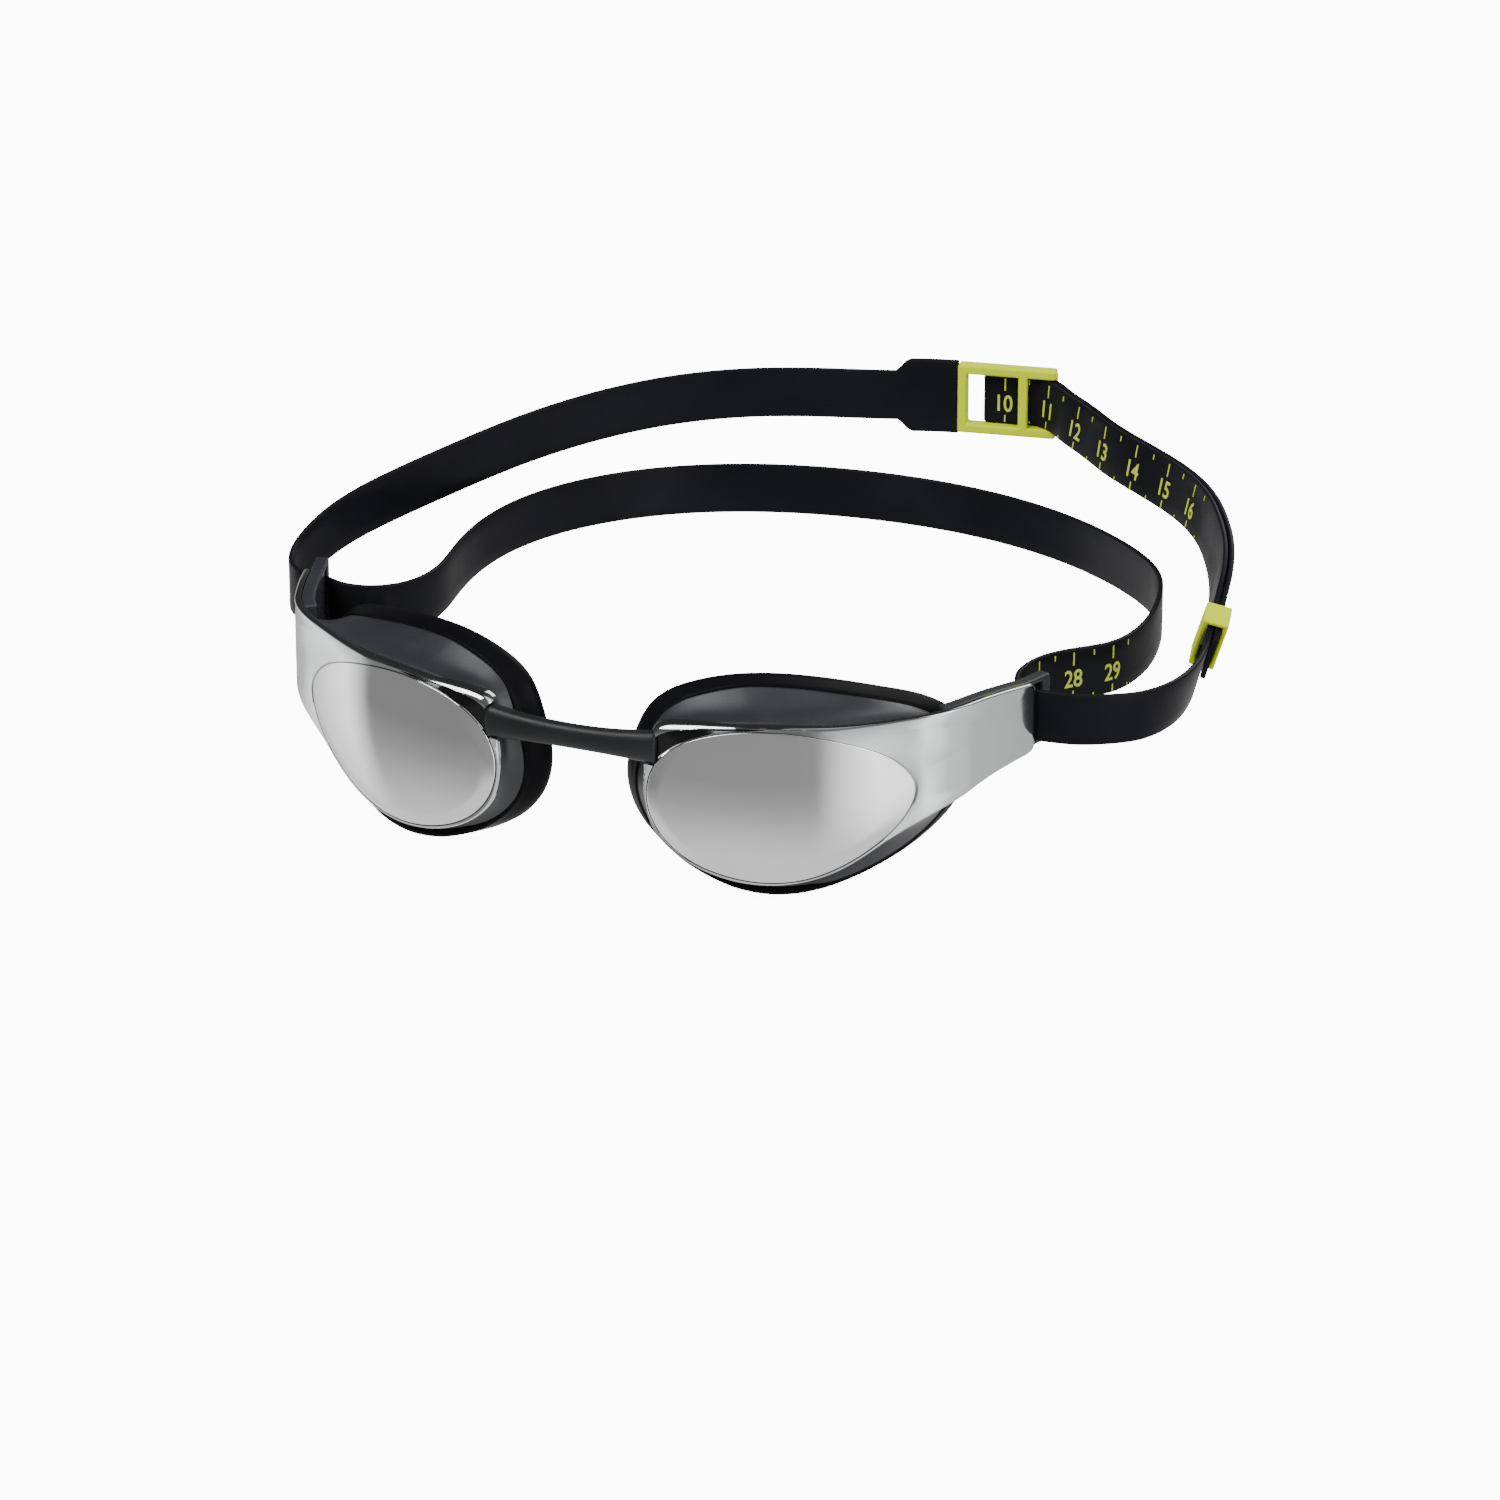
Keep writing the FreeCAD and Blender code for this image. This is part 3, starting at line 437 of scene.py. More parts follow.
def inset(points, distance):
    """Moves a closed outline towards its inside, seen from the front."""
    along = np.roll(points, -1, 0) - np.roll(points, 1, 0)
    along[:, 1] = 0
    along /= np.linalg.norm(along, axis=1)[:, None]
    inward = np.stack([along[:, 2], np.zeros(len(points)), -along[:, 0]], -1)
    return points + inward * distance


# ---- meshes
def make_object(name, points, faces, side=1):
    """An object from drawing-frame points; side -1 gives the mirror image."""
    points = np.array(points, float) * (side, 1, 1)
    mesh = bpy.data.meshes.new(name)
    mesh.from_pydata(world(points).tolist(), [], faces)
    build = bmesh.new()
    build.from_mesh(mesh)
    bmesh.ops.remove_doubles(build, verts=build.verts, dist=1e-6)
    bmesh.ops.recalc_face_normals(build, faces=build.faces)
    build.to_mesh(mesh)
    build.free()
    mesh.shade_smooth()
    obj = bpy.data.objects.new(name, mesh)
    bpy.context.scene.collection.objects.link(obj)
    return obj


def grid_faces(rows, columns, wrap_rows):
    """Quads between rings of points; every ring is closed."""
    faces = []
    for i in range(rows if wrap_rows else rows - 1):
        for j in range(columns):
            k = (j + 1) % columns
            n = (i + 1) % rows
            faces.append((i * columns + j, i * columns + k, n * columns + k, n * columns + j))
    return faces


def ring_object(name, rings, side=1, closed=True, caps=False):
    """An object through rings of points: closed joins the last to the first, caps fills both ends."""
    rings = np.asarray(rings, float)
    rows, columns = rings.shape[:2]
    faces = grid_faces(rows, columns, closed)
    if caps:
        faces.append(tuple(range(columns)))
        faces.append(tuple((rows - 1) * columns + j for j in range(columns)))
    return make_object(name, rings.reshape(-1, 3), faces, side)


def apply_modifiers(obj):
    graph = bpy.context.evaluated_depsgraph_get()
    mesh = bpy.data.meshes.new_from_object(obj.evaluated_get(graph))
    obj.modifiers.clear()
    obj.data = mesh


def sharpen(obj, degrees=40.0):
    obj.data.set_sharp_from_angle(angle=math.radians(degrees))


def cut_away(obj, cutter):
    """Takes the cutter's space out of an object."""
    cut = obj.modifiers.new("cut", "BOOLEAN")
    cut.operation = "DIFFERENCE"
    cut.solver = "EXACT"
    cut.object = cutter
    bpy.context.view_layer.update()
    apply_modifiers(obj)
    sharpen(obj)


def round_edges(obj, width, segments=3):
    bevel = obj.modifiers.new("bevel", "BEVEL")
    bevel.width = width * MM
    bevel.segments = segments
    bevel.limit_method = "ANGLE"
    bevel.angle_limit = math.radians(50)
    bevel.harden_normals = True
    apply_modifiers(obj)


def cell_solid(xs, zs, depths, holes):
    """A plate of cells with holes: points (x, depth, z) and the faces of its closed surface."""
    columns = len(xs) - 1
    rows = len(zs) - 1
    solid = {(i, j) for i in range(columns) for j in range(rows)} - set(holes)
    index = {}
    points = []

    def vertex(i, k, j):
        if (i, k, j) not in index:
            index[(i, k, j)] = len(points)
            points.append((xs[i], depths[k], zs[j]))
        return index[(i, k, j)]

    faces = []
    for i, j in sorted(solid):
        for k in (0, 1):
            faces.append([vertex(i, k, j), vertex(i + 1, k, j), vertex(i + 1, k, j + 1), vertex(i, k, j + 1)])
        for di, dj, corners in (
            (-1, 0, ((0, 0), (0, 1))), (1, 0, ((1, 0), (1, 1))),
            (0, -1, ((0, 0), (1, 0))), (0, 1, ((0, 1), (1, 1))),
        ):
            if (i + di, j + dj) not in solid:
                (a, b), (c, d) = corners
                faces.append([
                    vertex(i + a, 0, j + b), vertex(i + c, 0, j + d),
                    vertex(i + c, 1, j + d), vertex(i + a, 1, j + b),
                ])
    return np.array(points, float), faces


# ---- materials
SMEAR_FINENESS = 4.3
GRAIN_STRENGTH = 0.25


def material(name):
    mat = bpy.data.materials.new(name)
    mat.use_nodes = True
    nodes = mat.node_tree.nodes
    return mat, nodes, mat.node_tree.links, nodes["Principled BSDF"]


def noise(nodes, links, scale, detail=4.0):
    """A noise over the object's own coordinates, in metres times scale."""
    place = nodes.new("ShaderNodeTexCoord")
    texture = nodes.new("ShaderNodeTexNoise")
    texture.inputs["Scale"].default_value = scale
    texture.inputs["Detail"].default_value = detail
    links.new(place.outputs["Object"], texture.inputs["Vector"])
    return texture.outputs["Fac"]


def rgba(level):
    """A colour from three values, or a grey from one."""
    return (*level, 1) if isinstance(level, tuple) else (level, level, level, 1)


def ramp(nodes, links, value, low, high, start=0.3, end=0.7):
    """Spreads a value over two colours or two grey levels."""
    node = nodes.new("ShaderNodeValToRGB")
    node.color_ramp.elements[0].position = start
    node.color_ramp.elements[1].position = end
    node.color_ramp.elements[0].color = rgba(low)
    node.color_ramp.elements[1].color = rgba(high)
    links.new(value, node.inputs["Fac"])
    return node.outputs["Color"]


def bump(nodes, links, shader, value, strength, distance):
    node = nodes.new("ShaderNodeBump")
    node.inputs["Strength"].default_value = strength
    node.inputs["Distance"].default_value = distance * MM
    links.new(value, node.inputs["Height"])
    links.new(node.outputs["Normal"], shader.inputs["Normal"])


def surface(name, dark, light, rough, grain, grain_depth, metallic=0.0, mottle=40.0, specular=0.5):
    """A moulded surface: mottled colour, uneven gloss and a fine grain (its scale, its depth in mm)."""
    mat, nodes, links, shader = material(name)
    cloud = noise(nodes, links, mottle)
    links.new(ramp(nodes, links, cloud, dark, light), shader.inputs["Base Color"])
    smear = noise(nodes, links, mottle * SMEAR_FINENESS, 6.0)
    links.new(ramp(nodes, links, smear, rough[0], rough[1]), shader.inputs["Roughness"])
    shader.inputs["Metallic"].default_value = metallic
    shader.inputs["Specular IOR Level"].default_value = specular
    bump(nodes, links, shader, noise(nodes, links, grain, 3.0), GRAIN_STRENGTH, grain_depth)
    return mat


SILVER = surface(
    "silver_coating", (0.40, 0.41, 0.415), (0.43, 0.44, 0.445), (0.05, 0.10), 500.0, 0.003, metallic=1.0
)
MIRROR = surface(
    "mirror_coating", (0.50, 0.505, 0.50), (0.54, 0.545, 0.54), (0.05, 0.10), 300.0, 0.003, metallic=1.0
)
DARK_PLASTIC = surface(
    "satin_dark_plastic", (0.013, 0.0135, 0.016), (0.018, 0.0185, 0.022), (0.34, 0.44), 2600.0, 0.004,
    specular=0.3,
)
GLOSS_BLACK = surface(
    "gloss_black_plastic", (0.002, 0.002, 0.0024), (0.004, 0.004, 0.005), (0.08, 0.14), 900.0, 0.002,
    specular=0.4,
)
BRIDGE_RUBBER = surface(
    "bridge_rubber", (0.006, 0.0065, 0.007), (0.010, 0.0105, 0.012), (0.36, 0.46), 2200.0, 0.005,
    specular=0.22,
)
SEAL_RUBBER = surface(
    "seal_rubber", (0.0025, 0.0025, 0.003), (0.004, 0.004, 0.005), (0.34, 0.46), 1800.0, 0.004,
    specular=0.03,
)
STRAP_RUBBER = surface(
    "strap_silicone", (0.0055, 0.0055, 0.0068), (0.0085, 0.0085, 0.0110), (0.24, 0.32), 1500.0, 0.003,
    specular=0.035,
)
CLIP_PLASTIC = surface(
    "yellow_green_plastic", (0.44, 0.53, 0.0), (0.48, 0.58, 0.0), (0.30, 0.38), 1400.0, 0.004,
    specular=0.02,
)
INK = surface(
    "printed_scale", (0.34, 0.42, 0.01), (0.42, 0.50, 0.03), (0.45, 0.6), 3000.0, 0.004,
    mottle=900.0,
)


def finish_piece(obj, mat, body, slot, *nodes):
    """Gives a piece its material and its body, and hides the CAD nodes that it stands for; the slot is not
    used.
    """
    obj.data.materials.clear()
    obj.data.materials.append(mat)
    if body:
        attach(obj, body)
    if nodes:
        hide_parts(*nodes)
    return obj


# ---- lens
def dome_centre():
    """The middle of the sphere through the seam's nose and temple ends."""
    nose = on_wall([SEAM_OUTLINE[0]], -NOSE_LIFT)[0][:2]
    temple = on_wall([(SEAM_TIP, 0)], 0)[0][:2]
    chord = temple - nose
    back = np.array([-chord[1], chord[0]]) / np.linalg.norm(chord)
    centre = (nose + temple) / 2 + back * math.sqrt(LENS_CURVE**2 - (np.linalg.norm(chord) / 2) ** 2)
    return np.array([centre[0], centre[1], LENS_MID_Z])


def dome(points, centre):
    """Puts points on the front of the dome by their X and Z."""
    d = points - centre
    y = centre[1] - np.sqrt(LENS_CURVE**2 - d[:, 0] ** 2 - d[:, 2] ** 2)
    return np.stack([points[:, 0], y, points[:, 2]], -1)


def edge_roll(points, edge):
    """How far the dome's rounded edge falls back: most at the nose, nothing at the temple and top."""
    gap = np.linalg.norm((points - edge)[:, [0, 2]], axis=1)
    near = np.clip(1 - gap / ROLL_WIDTH, 0, 1) ** 2
    return EDGE_ROLL * near * np.interp(edge[:, 0], *ROLL_BY_X) * np.interp(edge[:, 2], *ROLL_BY_Z)


def dome_face(points, edge, centre):
    """The dome's face at points, with the roll that belongs to the nearest points of its edge."""
    return dome(points, centre) + edge_roll(points, edge)[:, None] * (0, 1, 0)


def seam_points(extra):
    """The outline of the dome on the wall, closed."""
    curve, at = spline(SEAM_OUTLINE, True)
    points = on_wall(curve(np.linspace(0, at[-1], AROUND, endpoint=False)), 0)
    return inset(points, -extra)


def lens(side):
    centre = dome_centre()
    edge = seam_points(-SEAM_GAP)
    middle = edge.mean(0)
    rings = []
    for share in np.concatenate([[0.0], np.linspace(0.04, 0.8, 16), np.linspace(0.82, 0.99, 16)]):
        rings.append(dome_face(middle + (edge - middle) * share, edge, centre))
    face = dome_face(edge, edge, centre)
    rings.append(dome_face(inset(edge, LENS_EDGE_WIDTH), edge, centre))
    rings.append(face + (0, LENS_EDGE_DROP, 0))
    rings.append(face + (0, LENS_THICKNESS, 0))
    for share in np.concatenate([np.linspace(0.96, 0.04, 12), [0.0]]):
        inner = dome(middle + (edge - middle) * share, centre)
        rings.append(inner + (0, LENS_THICKNESS + LENS_HOLLOW, 0))
    return ring_object("lens_dome_" + SIDES[side], rings, side, closed=False)


# ---- side plate
def matched_outlines():
    """The seam and the plate's edge as two closed outlines with matching points."""
    seam, seam_at = spline(SEAM_OUTLINE, True)
    top, top_at = spline(PLATE_TOP)
    bottom, bottom_at = spline(PLATE_BOTTOM)
    end_length = PLATE_TOP[-1][1] - PLATE_BOTTOM[0][1]
    total = top_at[-1] + end_length + bottom_at[-1]

    def plate_edge(u):
        u = np.atleast_1d(u) % total
        on_end = np.stack([np.full_like(u, PLATE_TOP[-1][0]), PLATE_TOP[-1][1] - (u - top_at[-1])], -1)
        on_bottom = bottom(np.clip(u - top_at[-1] - end_length, 0, bottom_at[-1]))
        result = np.where((u <= top_at[-1])[:, None], top(np.clip(u, 0, top_at[-1])), on_end)
        return np.where((u > top_at[-1] + end_length)[:, None], on_bottom, result)

    inner_u = [0.0]
    outer_u = [0.0]
    for inner, outer in PLATE_MATCH[1:]:
        inner_u.append(nearest(seam, seam_at[-1], inner, inner_u[-1]))
        outer_u.append(nearest(plate_edge, total, outer, outer_u[-1]))
    inner_u.append(seam_at[-1])
    outer_u.append(total)
    share = np.interp(np.linspace(0, total, AROUND, endpoint=False), outer_u, np.arange(len(outer_u)))
    steps = np.arange(len(outer_u))
    inner = seam(np.interp(share, steps, inner_u))
    outer = plate_edge(np.interp(share, steps, outer_u))
    over = np.clip((outer[:, 0] - PLATE_TOP[-1][0]) / ARM_CORNER + 1, 0, 1)
    drop = ARM_CORNER * (1 - np.sqrt(1 - over**2))
    near_end = outer[:, 0] > PLATE_TOP[-1][0] - ARM_CORNER
    high = np.interp(outer[:, 0], *np.transpose(PLATE_TOP)) - drop
    low = np.interp(outer[:, 0], *np.transpose(PLATE_BOTTOM[::-1])) + drop
    outer[:, 1] = np.where(near_end, np.clip(outer[:, 1], low, high), outer[:, 1])
    return inner, outer


def side_plate(side):
    """The silver shell round the dome and along the arm; near the dome it lies flush with it."""
    inner, outer = matched_outlines()
    span = np.linalg.norm(outer - inner, axis=1)[:, None]
    seam = on_wall(inner, 0)
    step = (dome_face(seam, seam, dome_centre()) - seam)[:, 1]
    by_nose = np.interp(outer[:, 0], *CORNER_BY_S) * np.interp(outer[:, 1], *CORNER_BY_Z)

    def ring(share, depth=0.0):
        away = (share * span)[:, 0]
        points = on_wall(inner + (outer - inner) * share, depth)
        points[:, 1] += step * np.clip(1 - away / FLUSH_REACH, 0, 1) ** 2
        return points

    def by_seam(reach, depth):
        return ring(np.minimum(reach / span, EDGE_SHARE), depth)

    def by_edge(reach, depth):
        depth = depth + (CORNER_EXTRA_DEPTH if depth > 1 else depth * CORNER_EDGE_DEPTH) * by_nose
        reach = (reach * (1 + CORNER_EDGE_WIDTH * by_nose))[:, None]
        return ring(1 - np.minimum(reach / span, EDGE_SHARE), depth)

    shares = np.linspace(*PLATE_MIDDLE)
    rings = [by_seam(reach, depth) for reach, depth in SEAM_EDGE]
    rings += [ring(share) for share in shares]
    rings += [by_edge(reach, depth) for reach, depth in PLATE_EDGE]
    rings += [ring(share, PLATE_THICKNESS) for share in shares[::-1]]
    rings.append(by_seam(0.0, PLATE_THICKNESS))
    return ring_object("side_plate_shell_" + SIDES[side], rings, side)


def well_solid(name, side, back, front):
    """The room between two depths below the well's floor; the floor rises to the dome's edge."""
    outer, outer_at = spline(WELL_OUTER)
    inner, inner_at = spline(WELL_INNER)
    share = np.linspace(0, 1, 60)
    outer = outer(share * outer_at[-1])
    by_dome = on_wall(inner(share * inner_at[-1]), 0)
    by_edge = on_wall(outer[:, :2], outer[:, 2])
    by_dome = dome_face(by_dome, by_dome, dome_centre()) + (0, WELL_EDGE, 0)
    corners = [(by_edge, front), (by_dome, front), (by_dome, back), (by_edge, back)]
    rings = np.stack([points + (0, depth, 0) for points, depth in corners], 1)
    return ring_object(name, rings, side, closed=False, caps=True)


def notch_cutter(side):
    """The room for the bridge's end in the rim."""
    rings = []
    for x, back, grow in NOTCH_STATIONS:
        angle = np.linspace(0, 2 * math.pi, 40, endpoint=False)
        half_height = BRIDGE_END_HEIGHT / 2 + NOTCH_MARGIN
        half_depth = BRIDGE_END_DEPTH / 2 + NOTCH_MARGIN + grow / 2
        ring = np.stack([
            np.full_like(angle, x),
            BRIDGE_END_Y + back + half_depth * np.cos(angle),
            BRIDGE_Z + half_height * np.sin(angle),
        ], -1)
        rings.append(ring)
    return ring_object("notch", rings, side, closed=False, caps=True)


# ---- eyecup and seal
def cup_outlines():
    """The cup's front edge on the wall and the seal's outline, with matching points."""
    stations = len(CUP_STATIONS)
    front, front_at = spline([s for s, _ in CUP_STATIONS], True)
    seal, seal_at = spline([p for _, p in CUP_STATIONS], True)
    share = np.linspace(0, stations, AROUND, endpoint=False)
    front_points = front(np.interp(share, np.arange(stations + 1), front_at))
    seal_points = seal(np.interp(share, np.arange(stations + 1), seal_at))
    return front_points, seal_points


def shouldered(seal, distance, share=1.0):
    """The seal's outline moved in by its shoulder and by a distance."""
    stations = len(CUP_STATIONS)
    place = np.linspace(0, stations, AROUND, endpoint=False)
    shoulder = np.interp(place, np.arange(stations + 1), [*SEAL_SHOULDER, SEAL_SHOULDER[0]])
    return inset(seal, (shoulder * share + distance)[:, None])


def eyecup(side):
    """A bowl that flares from the back of the plate to the seal."""
    front, seal = cup_outlines()
    edge = on_wall(front, PLATE_THICKNESS + CUP_GAP)
    back = shouldered(seal, CUP_TUCK) + (0, CUP_BACK - SEAL_FRONT, 0)
    rows = np.linspace(0, 1, CUP_ROWS)
    rings = []
    for t, inwards in [*((t, 0.0) for t in rows), *((t, CUP_WALL) for t in rows[::-1])]:
        hollow = CUP_HOLLOW * math.sin(math.pi * t) ** CUP_HOLLOW_POWER
        rings.append(inset(edge + (back - edge) * t, inwards + hollow))
    return ring_object("eyecup_bowl_" + SIDES[side], rings, side)


def face_seal(side):
    """A soft flange: a shoulder at the front, wide at the nose, and a rounded lip at the back."""
    seal = cup_outlines()[1]
    rings = [shouldered(seal, inwards, share) + (0, y, 0) for share, inwards, y in SEAL_SECTION]
    return ring_object("seal_lip_" + SIDES[side], rings, side)


# ---- arm backing
def arm_backing(side):
    """The dark inner half of the arm, with the slot and the post that hold the strap."""
    inside = np.linspace(BACKING_START, BACKING_END, 12)
    xs = [*inside, SLOT_START, POST_START, (POST_START + POST_END) / 2, POST_END]
    slot = [(len(inside) - 1 + i, j) for i in (0, 1) for j in (1, 2, 3)]
    points, faces = cell_solid(xs, ARM_SHARES, (PLATE_THICKNESS + BACKING_GAP, BACKING_DEPTH), slot)
    top, top_at = spline(PLATE_TOP)
    bottom, bottom_at = spline(PLATE_BOTTOM)
    top_line = top(np.linspace(0, top_at[-1], 400))
    bottom_line = bottom(np.linspace(0, bottom_at[-1], 400))[::-1]
    high = np.interp(points[:, 0], top_line[:, 0], top_line[:, 1]) - BACKING_TRIM
    low = np.interp(points[:, 0], bottom_line[:, 0], bottom_line[:, 1]) + BACKING_TRIM
    x, y = wall(points[:, 0], points[:, 1])
    placed = np.stack([x, y, low + (high - low) * points[:, 2]], -1)
    obj = make_object("arm_backing_shell_" + SIDES[side], placed, faces, side)
    round_edges(obj, BACKING_EDGE)
    return obj


# ---- nose bridge
def nose_bridge():
    """A soft bar that widens towards its two ends."""
    angle = np.linspace(0, 2 * math.pi, 40, endpoint=False)
    rings = []
    end = BRIDGE_END_X + BRIDGE_LAP
    shares = [-share for share, _ in BRIDGE_RIM] + list(np.linspace(-0.94, 0.94, 41))
    shares += [share for share, _ in reversed(BRIDGE_RIM)]
    shrinks = dict(BRIDGE_RIM)
    cos = np.sign(np.cos(angle)) * np.abs(np.cos(angle)) ** BRIDGE_SQUARENESS
    sin = np.sign(np.sin(angle)) * np.abs(np.sin(angle)) ** BRIDGE_SQUARENESS
    for share in shares:
        flare = abs(share) ** BRIDGE_FLARE_POWER
        shrink = shrinks.get(abs(share), 1.0)
        half_height = (BRIDGE_MID_HEIGHT + (BRIDGE_END_HEIGHT - BRIDGE_MID_HEIGHT) * flare) / 2 * shrink
        half_depth = (BRIDGE_MID_DEPTH + (BRIDGE_END_DEPTH - BRIDGE_MID_DEPTH) * flare) / 2 * shrink
        y = BRIDGE_MID_Y + (BRIDGE_END_Y - BRIDGE_MID_Y) * share**2
        x = np.full_like(angle, share * end)
        rings.append(np.stack([x, y + half_depth * cos, BRIDGE_Z + half_height * sin], -1))
    return ring_object("bridge_bar", rings, closed=False, caps=True)


# ---- strap
class Band:
    """A flat band along a route: place gives its middle, along, across and out at a distance."""

    def __init__(self, points, lean=None):
        self.curve, self.at = spline(points)
        self.length = self.at[-1]
        self.lean = lean or (lambda u: np.zeros_like(u))

    def place(self, u):
        u = np.atleast_1d(np.asarray(u, float))
        p = self.curve(u)
        step = 0.02
        along = self.curve(np.minimum(u + step, self.length)) - self.curve(np.maximum(u - step, 0))
        along /= np.linalg.norm(along, axis=1)[:, None]
        up = np.array([0, 0, 1.0]) - along * along[:, 2:3]
        up /= np.linalg.norm(up, axis=1)[:, None]
        out = np.cross(along, up)
        lean = np.radians(self.lean(u))[:, None]
        across = up * np.cos(lean) + out * np.sin(lean)
        return p, along, across, np.cross(along, across)


def band_section(width, thickness):
    """A rectangle with rounded corners, as (across, out) points."""
    radius = STRAP_EDGE
    points = []
    corners = ((1, 1, 0), (-1, 1, 90), (-1, -1, 180), (1, -1, 270))
    for a, b, turn in corners:
        centre = (a * (width / 2 - radius), b * (thickness / 2 - radius))
        for degrees in (0, 30, 60, 90):
            angle = math.radians(turn + degrees)
            points.append((centre[0] + radius * math.cos(angle), centre[1] + radius * math.sin(angle)))
        if a == b:
            for share in (0.25, 0.5, 0.75):
                points.append((width * (0.5 - share) * a, b * thickness / 2))
    return np.array(points)


def band_object(name, band, distances, width=None, thickness=None):
    """A solid strap over the given distances; width and thickness may change along it."""
    p, _, across, out = band.place(distances)
    rings = []
    for i, u in enumerate(np.atleast_1d(distances)):
        w = width(u) if width else STRAP_WIDTH
        t = thickness(u) if thickness else STRAP_THICKNESS
        section = band_section(w, t)
        rings.append(p[i] + across[i] * section[:, :1] + out[i] * section[:, 1:])
    obj = ring_object(name, rings, closed=False, caps=True)
    sharpen(obj, 60)
    return obj


def steps(first, last, step=1.2):
    """Distances from first to last, about a step apart."""
    return np.linspace(first, last, max(3, int(abs(last - first) / step) + 1))


def buckle_point(x, n, z=0.0):
    """A place in the buckle's own frame: along it, outwards from it, and up."""
    c, s = math.cos(math.radians(BUCKLE_HEADING)), math.sin(math.radians(BUCKLE_HEADING))
    return (
        BUCKLE_CENTRE[0] + x * c - n * s,
        BUCKLE_CENTRE[1] + x * s + n * c,
        BUCKLE_CENTRE[2] + z,
    )


def numbered_band():
    """The strap's route from the left slot to the buckle, leaning over the riser."""
    inner = [*OUTER_RUN, RISER_MIDDLE, *SCALE_RUN]
    _, inner_at = spline(inner)
    riser_from = inner_at[len(OUTER_RUN) - 1]
    riser_to = inner_at[len(OUTER_RUN) + 1]

    def inner_lean(u):
        return np.interp(u, [0, riser_from, riser_to, inner_at[-1]], [0, RISER_LEAN, RISER_LEAN, 0])

    base = Band(inner, inner_lean)
    return base, riser_from, riser_to


def strap_fold_points():
    """The strap's way into the buckle, round its fold and out again on the outer side."""
    bend = LAYER_STEP / 2
    points = [buckle_point(x, n) for x, n in FOLD_ENTRY]
    for degrees in (0, 45, 90, 135, 180):
        angle = math.radians(degrees)
        x = FOLD_X - bend * math.sin(angle)
        points.append(buckle_point(x, FOLD_N + bend - bend * math.cos(angle)))
    return points + [buckle_point(x, n + LAYER_STEP) for x, n in reversed(FOLD_ENTRY)]


def build_eyepieces():
    for side, word in SIDES.items():
        cutter = notch_cutter(side)
        dome_piece = lens(side)
        plate = side_plate(side)
        cup = eyecup(side)
        well_cutter = well_solid("well", side, *WELL_CUT)
        cut_away(plate, well_cutter)
        cut_away(plate, cutter)
        bpy.data.objects.remove(cutter)
        bpy.data.objects.remove(well_cutter)
        well = well_solid("bridge_well_" + word, side, WELL_FLOOR, 0.0)
        sharpen(well)
        finish_piece(well, GLOSS_BLACK, "front", "dark_plastic", "bridge_socket_" + word)
        finish_piece(dome_piece, MIRROR, "front", "mirror_lens", "lens_" + word)
        finish_piece(plate, SILVER, "front", "silver_plate", "side_plate_" + word)
        finish_piece(cup, DARK_PLASTIC, "front", "dark_plastic", "eyecup_" + word)
        finish_piece(face_seal(side), SEAL_RUBBER, "front", "seal_rubber", "face_seal_" + word)
        finish_piece(arm_backing(side), DARK_PLASTIC, "front", "dark_plastic", "arm_backing_" + word)
    finish_piece(nose_bridge(), BRIDGE_RUBBER, "front", "dark_plastic", "nose_bridge")


def blended(obj, loop, start, end):
    """Bakes a strap's placement into its mesh; the loop and the bend's start and end are not used."""
    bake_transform(obj)


def build_upper_band():
    chain = [*reversed(LOWER_RUN[1:4]), *UPPER_RUN]
    band = Band(chain)
    slot = band.at[3]
    tab = band.at[-3]

    def width(u):
        return float(np.interp(u, tab + np.array(TAB_WIDENS), [STRAP_WIDTH, TAB_WIDTH]))

    def thickness(u):
        return float(np.interp(u, tab + np.array(TAB_THICKENS), [STRAP_THICKNESS, TAB_THICKNESS]))

    obj = band_object("strap_upper_band", band, steps(slot, band.length), width, thickness)
    nodes = ["strap_upper_right", "strap_upper_rear", "strap_end_tab"]
    finish_piece(obj, STRAP_RUBBER, None, "strap_rubber", *nodes)
    blended(obj, "upper_loop", *RIGHT_UPPER_BEND)


def build_lower_bands():
    chain = [*reversed(UPPER_RUN[1:4]), *LOWER_RUN, *OUTER_RUN[1:4]]
    band = Band(chain)
    middle = band.at[3 + LOWER_MIDDLE]
    first = band.at[3]
    last = band.at[-4]
    right = band_object("strap_lower_right_band", band, steps(first, middle))
    finish_piece(right, STRAP_RUBBER, None, "strap_rubber", "strap_lower_right", "strap_slot_turn_right")
    blended(right, "lower_loop", *RIGHT_LOWER_BEND)
    left = band_object("strap_lower_left_band", band, steps(middle, last))
    nodes = ["strap_lower_left", "strap_lower_rear", "strap_slot_turn_left"]
    finish_piece(left, STRAP_RUBBER, None, "strap_rubber", *nodes)
    blended(left, "lower_loop", *LEFT_LOWER_BEND)
    return band


